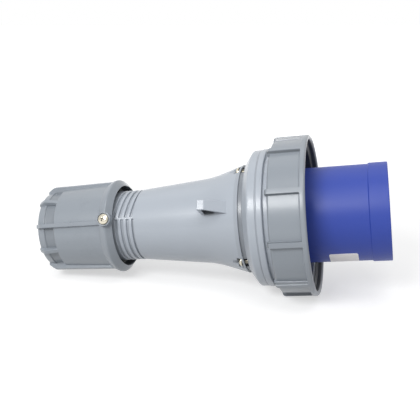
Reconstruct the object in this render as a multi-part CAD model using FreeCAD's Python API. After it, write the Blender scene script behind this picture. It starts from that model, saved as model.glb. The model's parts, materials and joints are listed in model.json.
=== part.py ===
"""Watertight industrial pin and sleeve plug: two poles and earth, with a pilot contact.

Every piece is drawn along the plug's axis first. A station is a distance from the mouth of the
sleeve towards the cable, and a radius is measured from the axis. The finished set is then laid
down as the plug comes to rest: on two ribs of its locking ring and on the rear end of a rib of its
gland nut, with the sleeve end a little higher.
"""
import FreeCAD, Part
import math
import os

V = FreeCAD.Vector
ORIGIN = V(0, 0, 0)
AXIS = V(1, 0, 0)

# Fits between pieces
FIT = 0.05
GAP = 0.3
SCREW_FIT = 0.05

# Angles round the axis, in degrees up from the side that faces the viewer
KEY_ANGLE = -153.0
SLEEVE_SCREW_ANGLE = -108.0
HANDLE_SCREW_ANGLE = -155.0
LUG_ANGLE = 35.0
LAND_ANGLE = 30.5
LABEL_ANGLE = -48.0
NUT_RIB_ANGLE = 24.0
LOCK_SCREW_ANGLE = 27.5

# Sleeve
SLEEVE_R = 34.8
SLEEVE_BORE_R = 31.5
COLLAR_R = 35.5
COLLAR_LENGTH = 13.2
SLEEVE_LENGTH = 70.9
SLEEVE_FLANGE_R = 50.0
SLEEVE_FLANGE_T = 4.2
KEY_WIDTH = 8.0
KEY_HEIGHT = 2.2
KEY_LENGTH = 46.0
SEAL_T = 3.0
SEAL_WIDTH = 4.7
SLEEVE_SCREW_R = 43.0
SLEEVE_SCREW_COUNT = 4
SLEEVE_SCREW_LENGTH = 11.0
SLEEVE_HEAD_R = 3.0
SLEEVE_HEAD_T = 2.1
SLEEVE_SHANK_R = 1.75
GASKET_T = 0.8

# Contacts and what holds them
FACE_STATION = 58.0
CARRIER_LENGTH = 26.0
CARRIER_FLANGE_R = 34.0
CARRIER_FLANGE_T = 3.6
PLATE_T = 7.0
CARRIER_HUB_R = 29.0
TOWER_HEIGHT = 2.5
TOWER_WALL = 3.0
MOAT_WIDTH = 2.6
MOAT_DEPTH = 4.0
PIN_CIRCLE_R = 17.5
LINE_PIN_R = 4.0
EARTH_PIN_R = 5.0
PILOT_PIN_R = 3.0
LINE_TIP = 11.0
EARTH_TIP = 8.0
PILOT_TIP = 22.0
PIN_SHOULDER = 0.6
PIN_SHOULDER_REACH = 0.8
PIN_COLLAR = 1.6
PIN_COLLAR_T = 2.0
TERMINAL_WALL = 2.2
TERMINAL_LENGTH = 20.0
TERMINAL_SCREW_R = 1.5
CARRIER_SCREW_R = 21.5
CARRIER_SHANK_R = 1.25
CARRIER_SCREW_REACH = 7.0

# Front housing
TRACK_R = 46.0
SHOULDER_R = 48.6
DRUM_R = 51.2
DRUM_LENGTH = 4.2
DRUM_BAND = 3.8
DRUM_GROOVE = 1.2
DRUM_GROOVE_DEPTH = 0.8
BEAD_LENGTH = 5.2
BEAD_DROP = 0.5
HOUSING_BORE_R = 30.5
CONE_MARGIN = 1.6
CONE_LENGTH = 5.8
CORE_HOLE_R = 1.3
CORE_HOLE_RISE = 7.4
CORE_HOLE_DEPTH = 8.0

# Locking ring
RING_R = 59.2
RING_LIP_T = 3.6
RING_LIP_STATION = 53.3
RING_BAND = 3.8
RING_PANEL_R = 56.5
RING_PANEL_T = 3.0
RING_WEB_T = 3.3
RIB_COUNT = 10
RIB_WIDTH = 4.0
RIB_TAIL = 1.5
RAMP_COUNT = 2
RAMP_SWEEP = 78.0
RAMP_HEIGHT = 3.2
RAMP_RISE = 7.0
RAMP_T = 5.0

# Handle
JOINT_GAP = 3.0
JOINT_DEPTH = 1.4
RELIEF_R = 4.2
HUB_R = 33.5
HUB_LENGTH = 5.6
HUB_WALL = 3.2
HUB_MARGIN = 1.5
HUB_GASKET_T = 1.2
HUB_GASKET_WIDTH = 2.8
FLANGE_MARGIN = 3.9
FLARE_LENGTH = 24.9
FLARE_END_R = 32.8
HANDLE_WALL = 3.5
NECK_STATION = 186.0
NECK_R = 27.3
NECK_LENGTH = 19.0
SPIGOT_LENGTH = 47.0
THREAD_DEPTH = 1.1
SPIGOT_WALL = 3.9
GROOVE_COUNT = 4
GROOVE_PITCH = 4.5
GROOVE_WIDTH = 2.1
GROOVE_TILT = 14.0
UPPER_GROOVE_LEAD = 5.8
LOWER_GROOVE_LEAD = 0.4
LAND_WIDTH = 1.8
HANDLE_SCREW_COUNT = 3
HEAD_R = 3.4
HEAD_T = 2.3
SHANK_R = 2.0
HANDLE_FLANGE_T = 1.7
POCKET_R = 5.2
POCKET_WALL = 2.2
POCKET_TILT = 25.0
THREAD_REACH = 12.0

# Lug for a cap's cord
LUG_CREST_R = 45.0
LUG_CREST_STATION = 127.2
LUG_CREST_LENGTH = 4.4
LUG_REAR_WALL = 3.0
LUG_WIDTH = 6.3
LUG_STRAP = 2.2
LUG_SINK = 3.2
LUG_FOOT_STATION = 110.5

# Gland
SEAL_BORE_R = 13.0
SEAL_LENGTH = 15.0
SEAL_HEAD_T = 5.0
SEAL_INSET = 1.0
SLIP_RING_T = 2.4
NUT_STATION = 201.0
NUT_WALL = 6.0
NUT_MOUTH_WALL = 2.2
NUT_MOUTH_DEPTH = 7.0
NUT_FLANGE_RISE = 3.05
NUT_FACE_RISE = 4.6
NUT_FLANGE_T = 4.4
NUT_TAPER = 0.036
NUT_RIB_HEIGHT = 1.9
NUT_RIB_WIDTH = 3.4
NUT_RIB_ROOT = 0.6
NUT_RIB_COUNT = 5
NUT_FIN_RISE = 0.7
NUT_POCKET_STATION = 249.5
NUT_POCKET_WALL = 2.2
NUT_POCKET_STEP = 0.4
NUT_SHOULDER_STATION = 259.5
NUT_END_DROP = 3.0
NUT_LENGTH = 63.8
NUT_RIM = 6.4
NUT_EXIT_R = 18.0
NUT_EXIT_FLARE = 2.5
BOSS_R = 5.4
BOSS_RISE = 0.3
LOCK_HEAD_R = 4.0
LOCK_HEAD_T = 2.3

# Label on the sleeve
LABEL_T = 0.2
LABEL_FILM = 0.02
LABEL_STATION = 23.2
LABEL_LENGTH = 20.0
LABEL_SWEEP = 26.0

# Radii that follow from the values above
HANDLE_SCREW_R = HUB_R + SHANK_R + HUB_MARGIN
HANDLE_FRONT_R = HANDLE_SCREW_R + FLANGE_MARGIN
CONE_END_R = HANDLE_FRONT_R + CONE_MARGIN
SPIGOT_R = NECK_R - THREAD_DEPTH
SPIGOT_BORE_R = SPIGOT_R - SPIGOT_WALL
NUT_BORE_R = NECK_R + GAP
NUT_BODY_R = NUT_BORE_R + NUT_WALL
NUT_MOUTH_R = NUT_BODY_R - NUT_MOUTH_WALL
NUT_FLANGE_R = NUT_BODY_R + NUT_FLANGE_RISE
NUT_END_R = NUT_BODY_R - NUT_END_DROP

# Stations that follow from the lengths above
FLANGE_REAR = SLEEVE_LENGTH + SLEEVE_FLANGE_T
HOUSING_FRONT = FLANGE_REAR + GASKET_T
WEB_FRONT = FLANGE_REAR + GAP + GASKET_T
WEB_REAR = WEB_FRONT + RING_WEB_T
SHOULDER_STATION = WEB_REAR + GAP
DRUM_STATION = SHOULDER_STATION + DRUM_BAND
GROOVE_STATION = DRUM_STATION + DRUM_LENGTH
BEAD_STATION = GROOVE_STATION + DRUM_GROOVE
CONE_STATION = BEAD_STATION + BEAD_LENGTH
HOUSING_REAR = CONE_STATION + CONE_LENGTH
HANDLE_FRONT = HOUSING_REAR + JOINT_GAP
HUB_FRONT = HOUSING_REAR - HUB_LENGTH
HUB_SEAT = HUB_FRONT - HUB_GASKET_T
SEAT_STATION = HANDLE_FRONT + HANDLE_FLANGE_T
CARRIER_REAR = FACE_STATION + CARRIER_LENGTH
PLATE_REAR = CARRIER_REAR + PLATE_T
TOWER_STATION = FACE_STATION - TOWER_HEIGHT
NECK_END = NECK_STATION + NECK_LENGTH
SPIGOT_END = NECK_END + SPIGOT_LENGTH
SEAL_END = SPIGOT_END + SEAL_HEAD_T
SLIP_STATION = SEAL_END + FIT
NUT_SEAT = SLIP_STATION + SLIP_RING_T + FIT
NUT_END = NUT_STATION + NUT_LENGTH


def rounded_face(points, to_vector):
    """A closed face through the points (a, b) or (a, b, radius), with arcs at rounded corners."""
    corners = [to_vector(p[0], p[1]) for p in points]
    radii = [p[2] if len(p) > 2 else 0.0 for p in points]
    count = len(corners)
    stops = []
    for i in range(count):
        here = corners[i]
        back = corners[i - 1] - here
        ahead = corners[(i + 1) % count] - here
        if radii[i] == 0.0:
            stops.append((here, None, here))
            continue
        half_turn = back.getAngle(ahead) / 2
        room = 0.49 * min(back.Length, ahead.Length)
        reach = min(radii[i] / math.tan(half_turn), room)
        radius = reach * math.tan(half_turn)
        back.normalize()
        ahead.normalize()
        middle = back + ahead
        middle.normalize()
        depth = radius / math.sin(half_turn) - radius
        stops.append((here + back * reach, here + middle * depth, here + ahead * reach))
    edges = []
    for i in range(count):
        start, bulge, end = stops[i]
        if bulge is not None:
            edges.append(Part.Arc(start, bulge, end).toShape())
        onward = stops[(i + 1) % count][0]
        if (onward - end).Length > 1e-6:
            edges.append(Part.makeLine(end, onward))
    return Part.Face(Part.Wire(edges))


def on_top(station, radius):
    """The place of a station and radius in the axial plane, above the axis."""
    return V(-station, 0, radius)


def turned(points, angle=360.0):
    """The solid that a profile of stations and radii sweeps round the axis."""
    return rounded_face(points, on_top).revolve(ORIGIN, AXIS, angle)


def plate(points, width):
    """A plate in the axial plane, above the axis, of the given width across it."""
    face = rounded_face(points, on_top)
    face.translate(V(0, -width / 2, 0))
    return face.extrude(V(0, width, 0))


def rod(start, end, radius, offset=0.0):
    """A round bar along the axis between two stations, its own axis at a radius above."""
    return Part.makeCylinder(radius, end - start, V(-start, 0, offset), V(-1, 0, 0))


def radial_rod(station, inner, outer, radius):
    """A round bar that points away from the axis, between two radii."""
    return Part.makeCylinder(radius, outer - inner, V(-station, 0, inner), V(0, 0, 1))


def spun(shape, angle):
    """A copy of a shape drawn above the axis, turned to an angle up from the viewer's side."""
    copy = shape.copy()
    copy.rotate(ORIGIN, AXIS, 90.0 - angle)
    return copy


def around(shape, count, first_angle):
    """Copies of a shape drawn above the axis, evenly spaced from the first angle."""
    return [spun(shape, first_angle - i * 360.0 / count) for i in range(count)]


def contact_angles():
    """The angles of the earth, line and neutral contacts: the earth lies at the key."""
    return KEY_ANGLE, KEY_ANGLE + 120.0, KEY_ANGLE - 120.0


def pan_head(station, radius, thickness, shank, length):
    """A pan head screw along the axis, its head on the cable side of a seat station."""
    return turned([
        (station + thickness, 0), (station + thickness, radius, thickness * 0.6),
        (station, radius, 0.15), (station, shank), (station - length, shank, 0.6),
        (station - length, 0),
    ])


def handle_screw_spots(shape):
    """A shape at each place of the screws that join the handle to the housing."""
    shape.translate(V(0, 0, HANDLE_SCREW_R))
    return around(shape, HANDLE_SCREW_COUNT, HANDLE_SCREW_ANGLE)


def plug_sleeve():
    """The coloured sleeve: collar, wall, outer key and the flange that bolts to the housing."""
    body = turned([
        (0, SLEEVE_BORE_R, 0.8), (0, COLLAR_R, 1.0), (COLLAR_LENGTH, COLLAR_R, 0.3),
        (COLLAR_LENGTH + 0.7, SLEEVE_R), (SLEEVE_LENGTH, SLEEVE_R),
        (SLEEVE_LENGTH, SLEEVE_FLANGE_R, 0.6), (FLANGE_REAR, SLEEVE_FLANGE_R, 0.3),
        (FLANGE_REAR, CARRIER_FLANGE_R + GAP),
        (FLANGE_REAR - CARRIER_FLANGE_T - FIT, CARRIER_FLANGE_R + GAP),
        (FLANGE_REAR - CARRIER_FLANGE_T - FIT, SLEEVE_BORE_R),
    ])
    key = plate([
        (1.5, SLEEVE_R - 1), (1.5, SLEEVE_R + KEY_HEIGHT, 1.0),
        (KEY_LENGTH, SLEEVE_R + KEY_HEIGHT, 1.0), (KEY_LENGTH + 2, SLEEVE_R - 1),
    ], KEY_WIDTH)
    hole = rod(SLEEVE_LENGTH - 1, FLANGE_REAR + 1, SLEEVE_SHANK_R + GAP, SLEEVE_SCREW_R)
    spots = around(hole, SLEEVE_SCREW_COUNT, SLEEVE_SCREW_ANGLE)
    return body.fuse(spun(key, KEY_ANGLE)).cut(spots).removeSplitter()


def sleeve_gasket():
    """The flat gasket between the sleeve's flange and the housing."""
    ring = turned([
        (FLANGE_REAR, CARRIER_FLANGE_R + GAP), (FLANGE_REAR, TRACK_R - 0.5),
        (HOUSING_FRONT, TRACK_R - 0.5), (HOUSING_FRONT, CARRIER_FLANGE_R + GAP),
    ])
    hole = rod(FLANGE_REAR - 1, HOUSING_FRONT + 1, SLEEVE_SHANK_R + GAP, SLEEVE_SCREW_R)
    return ring.cut(around(hole, SLEEVE_SCREW_COUNT, SLEEVE_SCREW_ANGLE))


def face_seal():
    """The soft ring at the foot of the sleeve, which the mating rim presses on."""
    inner = SLEEVE_R + FIT
    lip = SLEEVE_LENGTH - SEAL_T
    return turned([
        (lip, inner), (lip, inner + SEAL_WIDTH * 0.4, 0.6),
        (lip + 0.9, inner + SEAL_WIDTH, 0.5), (SLEEVE_LENGTH, inner + SEAL_WIDTH),
        (SLEEVE_LENGTH, inner),
    ])


def sleeve_screws():
    """The screws that hold the sleeve's flange to the housing, with heads to the front."""
    crown = SLEEVE_LENGTH - SLEEVE_HEAD_T
    screw = turned([
        (crown, 0), (crown, SLEEVE_HEAD_R, SLEEVE_HEAD_T * 0.6),
        (SLEEVE_LENGTH, SLEEVE_HEAD_R, 0.15), (SLEEVE_LENGTH, SLEEVE_SHANK_R),
        (SLEEVE_LENGTH + SLEEVE_SCREW_LENGTH, SLEEVE_SHANK_R, 0.6),
        (SLEEVE_LENGTH + SLEEVE_SCREW_LENGTH, 0),
    ])
    screw.translate(V(0, 0, SLEEVE_SCREW_R))
    return Part.makeCompound(around(screw, SLEEVE_SCREW_COUNT, SLEEVE_SCREW_ANGLE))


def contact_bores(start, end, extra):
    """Round bars at the four contacts, each wider than its contact by the extra radius."""
    bores = [rod(start, end, PILOT_PIN_R + extra)]
    for angle, radius in zip(contact_angles(), (EARTH_PIN_R, LINE_PIN_R, LINE_PIN_R)):
        bores.append(spun(rod(start, end, radius + extra, PIN_CIRCLE_R), angle))
    return bores


def carrier_screw_spots(shape):
    """A shape at each place of the carrier's screws, between the contacts."""
    shape.translate(V(0, 0, CARRIER_SCREW_R))
    return around(shape, 3, KEY_ANGLE + 60.0)


def contact_carrier():
    """The insulating block that the contacts stand in, clamped by its flange."""
    seat = FLANGE_REAR - CARRIER_FLANGE_T
    body = turned([
        (FACE_STATION, 0), (FACE_STATION, SLEEVE_BORE_R - GAP, 0.8),
        (seat, SLEEVE_BORE_R - GAP), (seat, CARRIER_FLANGE_R),
        (FLANGE_REAR, CARRIER_FLANGE_R), (FLANGE_REAR, CARRIER_HUB_R),
        (CARRIER_REAR, CARRIER_HUB_R), (CARRIER_REAR, 0),
    ])
    moat_r = SLEEVE_BORE_R - MOAT_WIDTH
    moat_floor = FACE_STATION + MOAT_DEPTH
    moat = turned([
        (FACE_STATION - 1, moat_r - MOAT_WIDTH), (FACE_STATION - 1, moat_r),
        (moat_floor, moat_r, 0.5), (moat_floor, moat_r - MOAT_WIDTH, 0.5),
    ])
    towers = contact_bores(TOWER_STATION, FACE_STATION + 1, TOWER_WALL)
    bores = contact_bores(TOWER_STATION - 1, CARRIER_REAR + 1, PIN_SHOULDER + FIT)
    seats = contact_bores(CARRIER_REAR - PIN_COLLAR_T - FIT, CARRIER_REAR + 1, PIN_COLLAR + FIT)
    tap = rod(CARRIER_REAR - CARRIER_SCREW_REACH - 2, CARRIER_REAR + 1, CARRIER_SHANK_R + SCREW_FIT)
    return body.cut(moat).fuse(towers).cut(bores + seats + carrier_screw_spots(tap))


def carrier_plate():
    """The rear plate that traps the collars of the contacts in the carrier."""
    body = rod(CARRIER_REAR, PLATE_REAR, CARRIER_HUB_R)
    bores = contact_bores(CARRIER_REAR - 1, PLATE_REAR + 1, FIT)
    hole = rod(CARRIER_REAR - 1, PLATE_REAR + 1, CARRIER_SHANK_R + GAP)
    return body.cut(bores + carrier_screw_spots(hole))


def carrier_screws():
    """The three small screws that hold the plate to the carrier."""
    screw = pan_head(PLATE_REAR, 2.3, 1.6, CARRIER_SHANK_R, PLATE_T + CARRIER_SCREW_REACH)
    return Part.makeCompound(carrier_screw_spots(screw))


def contact_pin(tip, radius, terminal_length):
    """A turned contact: rounded tip, wider shank, trapped collar and a bored terminal barrel."""
    shoulder = TOWER_STATION - PIN_SHOULDER_REACH
    shank = radius + PIN_SHOULDER
    collar = radius + PIN_COLLAR
    collar_front = CARRIER_REAR - PIN_COLLAR_T
    barrel = radius + TERMINAL_WALL
    bore = radius * 0.85
    rear = PLATE_REAR + FIT + terminal_length
    return turned([
        (tip, 0), (tip, radius, radius * 0.62), (shoulder, radius), (shoulder, shank, 0.2),
        (collar_front, shank), (collar_front, collar), (CARRIER_REAR - FIT, collar),
        (CARRIER_REAR - FIT, radius), (PLATE_REAR + FIT, radius), (PLATE_REAR + FIT, barrel, 0.3),
        (rear, barrel, 0.5), (rear, bore), (PLATE_REAR + 3, bore), (PLATE_REAR + 3, 0),
    ])


def clamp_stations(length):
    """The stations of the clamp screws along a terminal barrel."""
    start = PLATE_REAR + FIT
    if length < TERMINAL_LENGTH:
        return [start + length * 0.62]
    return [start + length * 0.42, start + length * 0.78]


def placed_pin(tip, radius, angle, length=TERMINAL_LENGTH):
    """A contact on the pin circle, with tapped holes for its clamp screws."""
    pin = contact_pin(tip, radius, length)
    for station in clamp_stations(length):
        pin = pin.cut(radial_rod(station, 0, 3 * radius, TERMINAL_SCREW_R + SCREW_FIT))
    if angle is None:
        return spun(pin, KEY_ANGLE + 60.0)
    pin.translate(V(0, 0, PIN_CIRCLE_R))
    return spun(pin, angle)


def clamp_screw(station, radius):
    """A clamp screw that stands on a terminal barrel and reaches into its bore."""
    top = radius + TERMINAL_WALL + 1.9
    shank = radial_rod(station, radius * 0.4, top - 1.0, TERMINAL_SCREW_R)
    head = radial_rod(station, radius + TERMINAL_WALL, top, 2.6)
    slot = Part.makeBox(0.8, 8.0, 1.0, V(-station - 0.4, -4.0, top - 0.8))
    return shank.fuse(head).cut(slot)


def terminal_screws():
    """The clamp screws of all terminals, each pointing away from the plug's axis."""
    screws = [spun(clamp_screw(s, PILOT_PIN_R), KEY_ANGLE + 60.0)
              for s in clamp_stations(TERMINAL_LENGTH * 0.6)]
    for angle, radius in zip(contact_angles(), (EARTH_PIN_R, LINE_PIN_R, LINE_PIN_R)):
        for station in clamp_stations(TERMINAL_LENGTH):
            screw = clamp_screw(station, radius)
            screw.translate(V(0, 0, PIN_CIRCLE_R))
            screws.append(spun(screw, angle))
    return Part.makeCompound(screws)


def front_housing():
    """The drum behind the ring: ring track, stop shoulder, bead, and cone down to the handle."""
    neck_r = DRUM_R - DRUM_GROOVE_DEPTH
    bead_r = DRUM_R - BEAD_DROP
    body = turned([
        (HOUSING_FRONT, HOUSING_BORE_R), (HOUSING_FRONT, TRACK_R, 0.4),
        (SHOULDER_STATION, TRACK_R), (SHOULDER_STATION, SHOULDER_R, 0.4),
        (DRUM_STATION, SHOULDER_R), (DRUM_STATION, DRUM_R, 0.8),
        (GROOVE_STATION, DRUM_R, 0.6), (GROOVE_STATION + 0.3, neck_r, 0.3),
        (BEAD_STATION, neck_r, 0.3), (BEAD_STATION + 0.3, bead_r, 0.7),
        (CONE_STATION, bead_r, 1.0), (HOUSING_REAR, CONE_END_R, 1.0),
        (HOUSING_REAR, HUB_R + GAP), (HUB_SEAT, HUB_R + GAP), (HUB_SEAT, HOUSING_BORE_R),
    ])
    tap = rod(HOUSING_REAR - THREAD_REACH, HOUSING_REAR + 1, SHANK_R + SCREW_FIT)
    core_hole = rod(HOUSING_REAR - CORE_HOLE_DEPTH, HOUSING_REAR + 1, CORE_HOLE_R,
                    HANDLE_SCREW_R + CORE_HOLE_RISE)
    front_tap = rod(HOUSING_FRONT - 1, SLEEVE_LENGTH + SLEEVE_SCREW_LENGTH + 1,
                    SLEEVE_SHANK_R + SCREW_FIT, SLEEVE_SCREW_R)
    cuts = handle_screw_spots(tap)
    cuts += around(core_hole, HANDLE_SCREW_COUNT, HANDLE_SCREW_ANGLE)
    cuts += around(front_tap, SLEEVE_SCREW_COUNT, SLEEVE_SCREW_ANGLE)
    return body.cut(cuts)


def locking_ring():
    """The bayonet ring: lip, ribbed wall, inner web that runs on the track, and inner ramps."""
    lip_bore = RING_R - RING_LIP_T
    wall_bore = RING_PANEL_R - RING_PANEL_T
    band_end = RING_LIP_STATION + RING_BAND
    body = turned([
        (RING_LIP_STATION, lip_bore, 1.6), (RING_LIP_STATION, RING_R, 1.6),
        (band_end, RING_R, 0.6), (band_end + 0.4, RING_PANEL_R, 0.4),
        (WEB_REAR, RING_PANEL_R - 0.3, 2.2), (WEB_REAR, TRACK_R + FIT),
        (WEB_FRONT, TRACK_R + FIT), (WEB_FRONT, wall_bore, 1.0),
        (band_end + 2.0, wall_bore), (band_end + 0.4, lip_bore),
    ])
    rib = plate([
        (band_end - 0.6, wall_bore + 1), (band_end - 0.6, RING_R, 0.3),
        (WEB_REAR + RIB_TAIL - 1.0, RING_R, 2.4), (WEB_REAR + RIB_TAIL, wall_bore + 2.2, 0.8),
        (WEB_REAR - 1, wall_bore + 1),
    ], RIB_WIDTH)
    ring = body.fuse(around(rib, RIB_COUNT, 0.0) + bayonet_ramps(wall_bore, band_end))
    return ring.removeSplitter()


def bayonet_ramps(wall_bore, band_end):
    """Inner ramps whose rear faces draw the mating lugs in as the ring turns."""
    start = band_end + 2.5
    crest = wall_bore - RAMP_HEIGHT
    arc = turned([
        (start, crest, 0.8), (start, wall_bore + 0.6),
        (start + RAMP_T + RAMP_RISE, wall_bore + 0.6), (start + RAMP_T + RAMP_RISE, crest),
    ], RAMP_SWEEP)
    arc.rotate(ORIGIN, AXIS, -RAMP_SWEEP / 2)
    reach = 2 * wall_bore * math.sin(math.radians(RAMP_SWEEP / 2))
    slope = math.degrees(math.atan2(RAMP_RISE, reach))
    cutter = Part.makeBox(60, 3 * wall_bore, 2 * wall_bore, V(-60, -1.5 * wall_bore, 0))
    cutter.rotate(ORIGIN, V(0, 0, 1), slope)
    cutter.translate(V(-start - RAMP_T - RAMP_RISE / 2, 0, 0))
    return around(arc.cut(cutter), RAMP_COUNT, KEY_ANGLE + 48.0)


def handle_outline():
    """The handle's outer profile from its front edge to the end of the gland spigot."""
    return [
        (HANDLE_FRONT, HANDLE_FRONT_R, 0.8),
        (HANDLE_FRONT + FLARE_LENGTH, FLARE_END_R, 60.0),
        (NECK_STATION, NECK_R, 6.0), (NECK_END, NECK_R, 0.5), (NECK_END + 0.3, SPIGOT_R),
        (SPIGOT_END, SPIGOT_R, 1.0),
    ]


def neck_grooves():
    """The rounded grooves of the neck. Each half has its own set, tilted on the upper side."""
    cuts = []
    half_space = Part.makeBox(60, 80, 40, V(-NECK_STATION - 45, -40, 0))
    for side in (1, -1):
        half = half_space.copy()
        if side < 0:
            half.rotate(ORIGIN, AXIS, 180)
        half.translate(V(0, 0, side * LAND_WIDTH / 2))
        half.rotate(ORIGIN, AXIS, -LAND_ANGLE)
        lead = UPPER_GROOVE_LEAD if side > 0 else LOWER_GROOVE_LEAD
        for i in range(GROOVE_COUNT):
            station = NECK_STATION + lead + i * GROOVE_PITCH
            groove = turned([
                (station - GROOVE_WIDTH / 2, NECK_R + 4), (station - GROOVE_WIDTH / 2, SPIGOT_R, 0.8),
                (station + GROOVE_WIDTH / 2, SPIGOT_R, 0.8), (station + GROOVE_WIDTH / 2, NECK_R + 4),
            ])
            if side > 0:
                groove.rotate(V(-station, 0, 0), V(0, 1, 0), -GROOVE_TILT)
            cuts.append(groove.common(half))
    return cuts


def cord_lug():
    """The strap that stands off the handle, with an eye under it for the cord of a cap."""
    slope_r = HANDLE_FRONT_R - LUG_SINK
    rear = LUG_CREST_STATION + LUG_CREST_LENGTH
    root_r = FLARE_END_R - 3
    outer = plate([
        (LUG_FOOT_STATION, root_r), (LUG_FOOT_STATION, slope_r),
        (LUG_CREST_STATION, LUG_CREST_R, 0.6), (rear, LUG_CREST_R, 0.8), (rear, root_r),
    ], LUG_WIDTH)
    eye_front = LUG_FOOT_STATION + 2
    eye_rear = rear - LUG_REAR_WALL
    eye = plate([
        (eye_front, root_r - 3), (eye_front, slope_r - LUG_STRAP + 0.8),
        (LUG_CREST_STATION, LUG_CREST_R - LUG_STRAP, 0.8),
        (eye_rear, LUG_CREST_R - LUG_STRAP, 0.5), (eye_rear, root_r - 3),
    ], LUG_WIDTH + 2)
    return spun(outer.cut(eye), LUG_ANGLE)


def handle_body():
    """The handle: flange, flare, long cone, grooved neck and gland spigot, with the cord lug."""
    wall = HANDLE_WALL
    bore = HUB_R - HUB_WALL
    step = SEAT_STATION + 2.2
    flare_end = HANDLE_FRONT + FLARE_LENGTH
    gap_r = HANDLE_FRONT_R - JOINT_DEPTH
    shell = turned([
        (HUB_FRONT, bore), (HUB_FRONT, HUB_R, 0.5), (HOUSING_REAR, HUB_R), (HOUSING_REAR, gap_r),
        (HANDLE_FRONT, gap_r),
    ] + handle_outline() + [
        (SPIGOT_END, SPIGOT_BORE_R), (NECK_STATION + 10, SPIGOT_BORE_R),
        (NECK_STATION, NECK_R - wall, 10.0), (flare_end, FLARE_END_R - wall, 50.0),
        (step + 3.0, HANDLE_FRONT_R - wall - 2.0), (step, bore),
    ])
    envelope = turned([(HANDLE_FRONT, 0)] + handle_outline() + [(SPIGOT_END, 0)])
    pillar = rod(HANDLE_FRONT, flare_end + 4, POCKET_R + POCKET_WALL)
    core = rod(HANDLE_FRONT, flare_end + 5, bore)
    bosses = [p.common(envelope).cut(core) for p in handle_screw_spots(pillar)]
    hollow = turned([
        (HANDLE_FRONT, 0), (HANDLE_FRONT, HANDLE_FRONT_R - 3),
        (flare_end + 8, FLARE_END_R - 2.6), (flare_end + 8, 0),
    ])
    shell = shell.fuse(bosses + [cord_lug().cut(hollow)])
    pocket = rod(0, 40, POCKET_R)
    pocket.rotate(ORIGIN, V(0, 1, 0), POCKET_TILT)
    pocket.translate(V(-SEAT_STATION, 0, 0))
    flat = Part.makeBox(60, 60, 60, V(-SEAT_STATION - 60, -30, -30))
    pocket = pocket.fuse(rod(SEAT_STATION - 4, SEAT_STATION + 8, POCKET_R)).common(flat)
    relief = rod(HOUSING_REAR, HANDLE_FRONT, RELIEF_R)
    hole = rod(HUB_FRONT, SEAT_STATION + 1, SHANK_R + GAP)
    notches = handle_screw_spots(pocket) + handle_screw_spots(relief) + handle_screw_spots(hole)
    return shell.cut(notches + neck_grooves())


def housing_screws():
    """The pan head screws that hold the handle to the front housing."""
    length = JOINT_GAP + HANDLE_FLANGE_T + THREAD_REACH - 2.0
    screw = pan_head(SEAT_STATION, HEAD_R, HEAD_T, SHANK_R, length)
    return Part.makeCompound(handle_screw_spots(screw))


def housing_gasket():
    """The ring that seals the handle's hub in the housing."""
    inner = HUB_R - HUB_GASKET_WIDTH
    return turned([
        (HUB_SEAT, inner, 0.3), (HUB_SEAT, HUB_R, 0.3), (HUB_FRONT, HUB_R, 0.3),
        (HUB_FRONT, inner, 0.3),
    ])


def gland_seal():
    """The soft bush that the gland squeezes onto the cable."""
    body_r = SPIGOT_BORE_R - FIT
    return turned([
        (SEAL_END - SEAL_LENGTH, SEAL_BORE_R, 0.5), (SEAL_END - SEAL_LENGTH, body_r, 1.5),
        (SPIGOT_END, body_r), (SPIGOT_END, SPIGOT_R - SEAL_INSET, 0.4),
        (SEAL_END, body_r, 0.8), (SEAL_END, SEAL_BORE_R, 0.5),
    ])


def gland_slip_ring():
    """The thrust ring between the nut and the seal, which does not turn with the nut."""
    rear = SLIP_STATION + SLIP_RING_T
    outer = SPIGOT_R - SEAL_INSET
    return turned([
        (SLIP_STATION, NUT_EXIT_R, 0.3), (SLIP_STATION, outer, 0.3), (rear, outer, 0.3),
        (rear, NUT_EXIT_R, 0.3),
    ])


def nut_body_radius(station):
    """The radius of the nut's tapered wall at a station."""
    return NUT_BODY_R - NUT_TAPER * (station - NUT_STATION - NUT_FACE_RISE - NUT_FLANGE_T)


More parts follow.
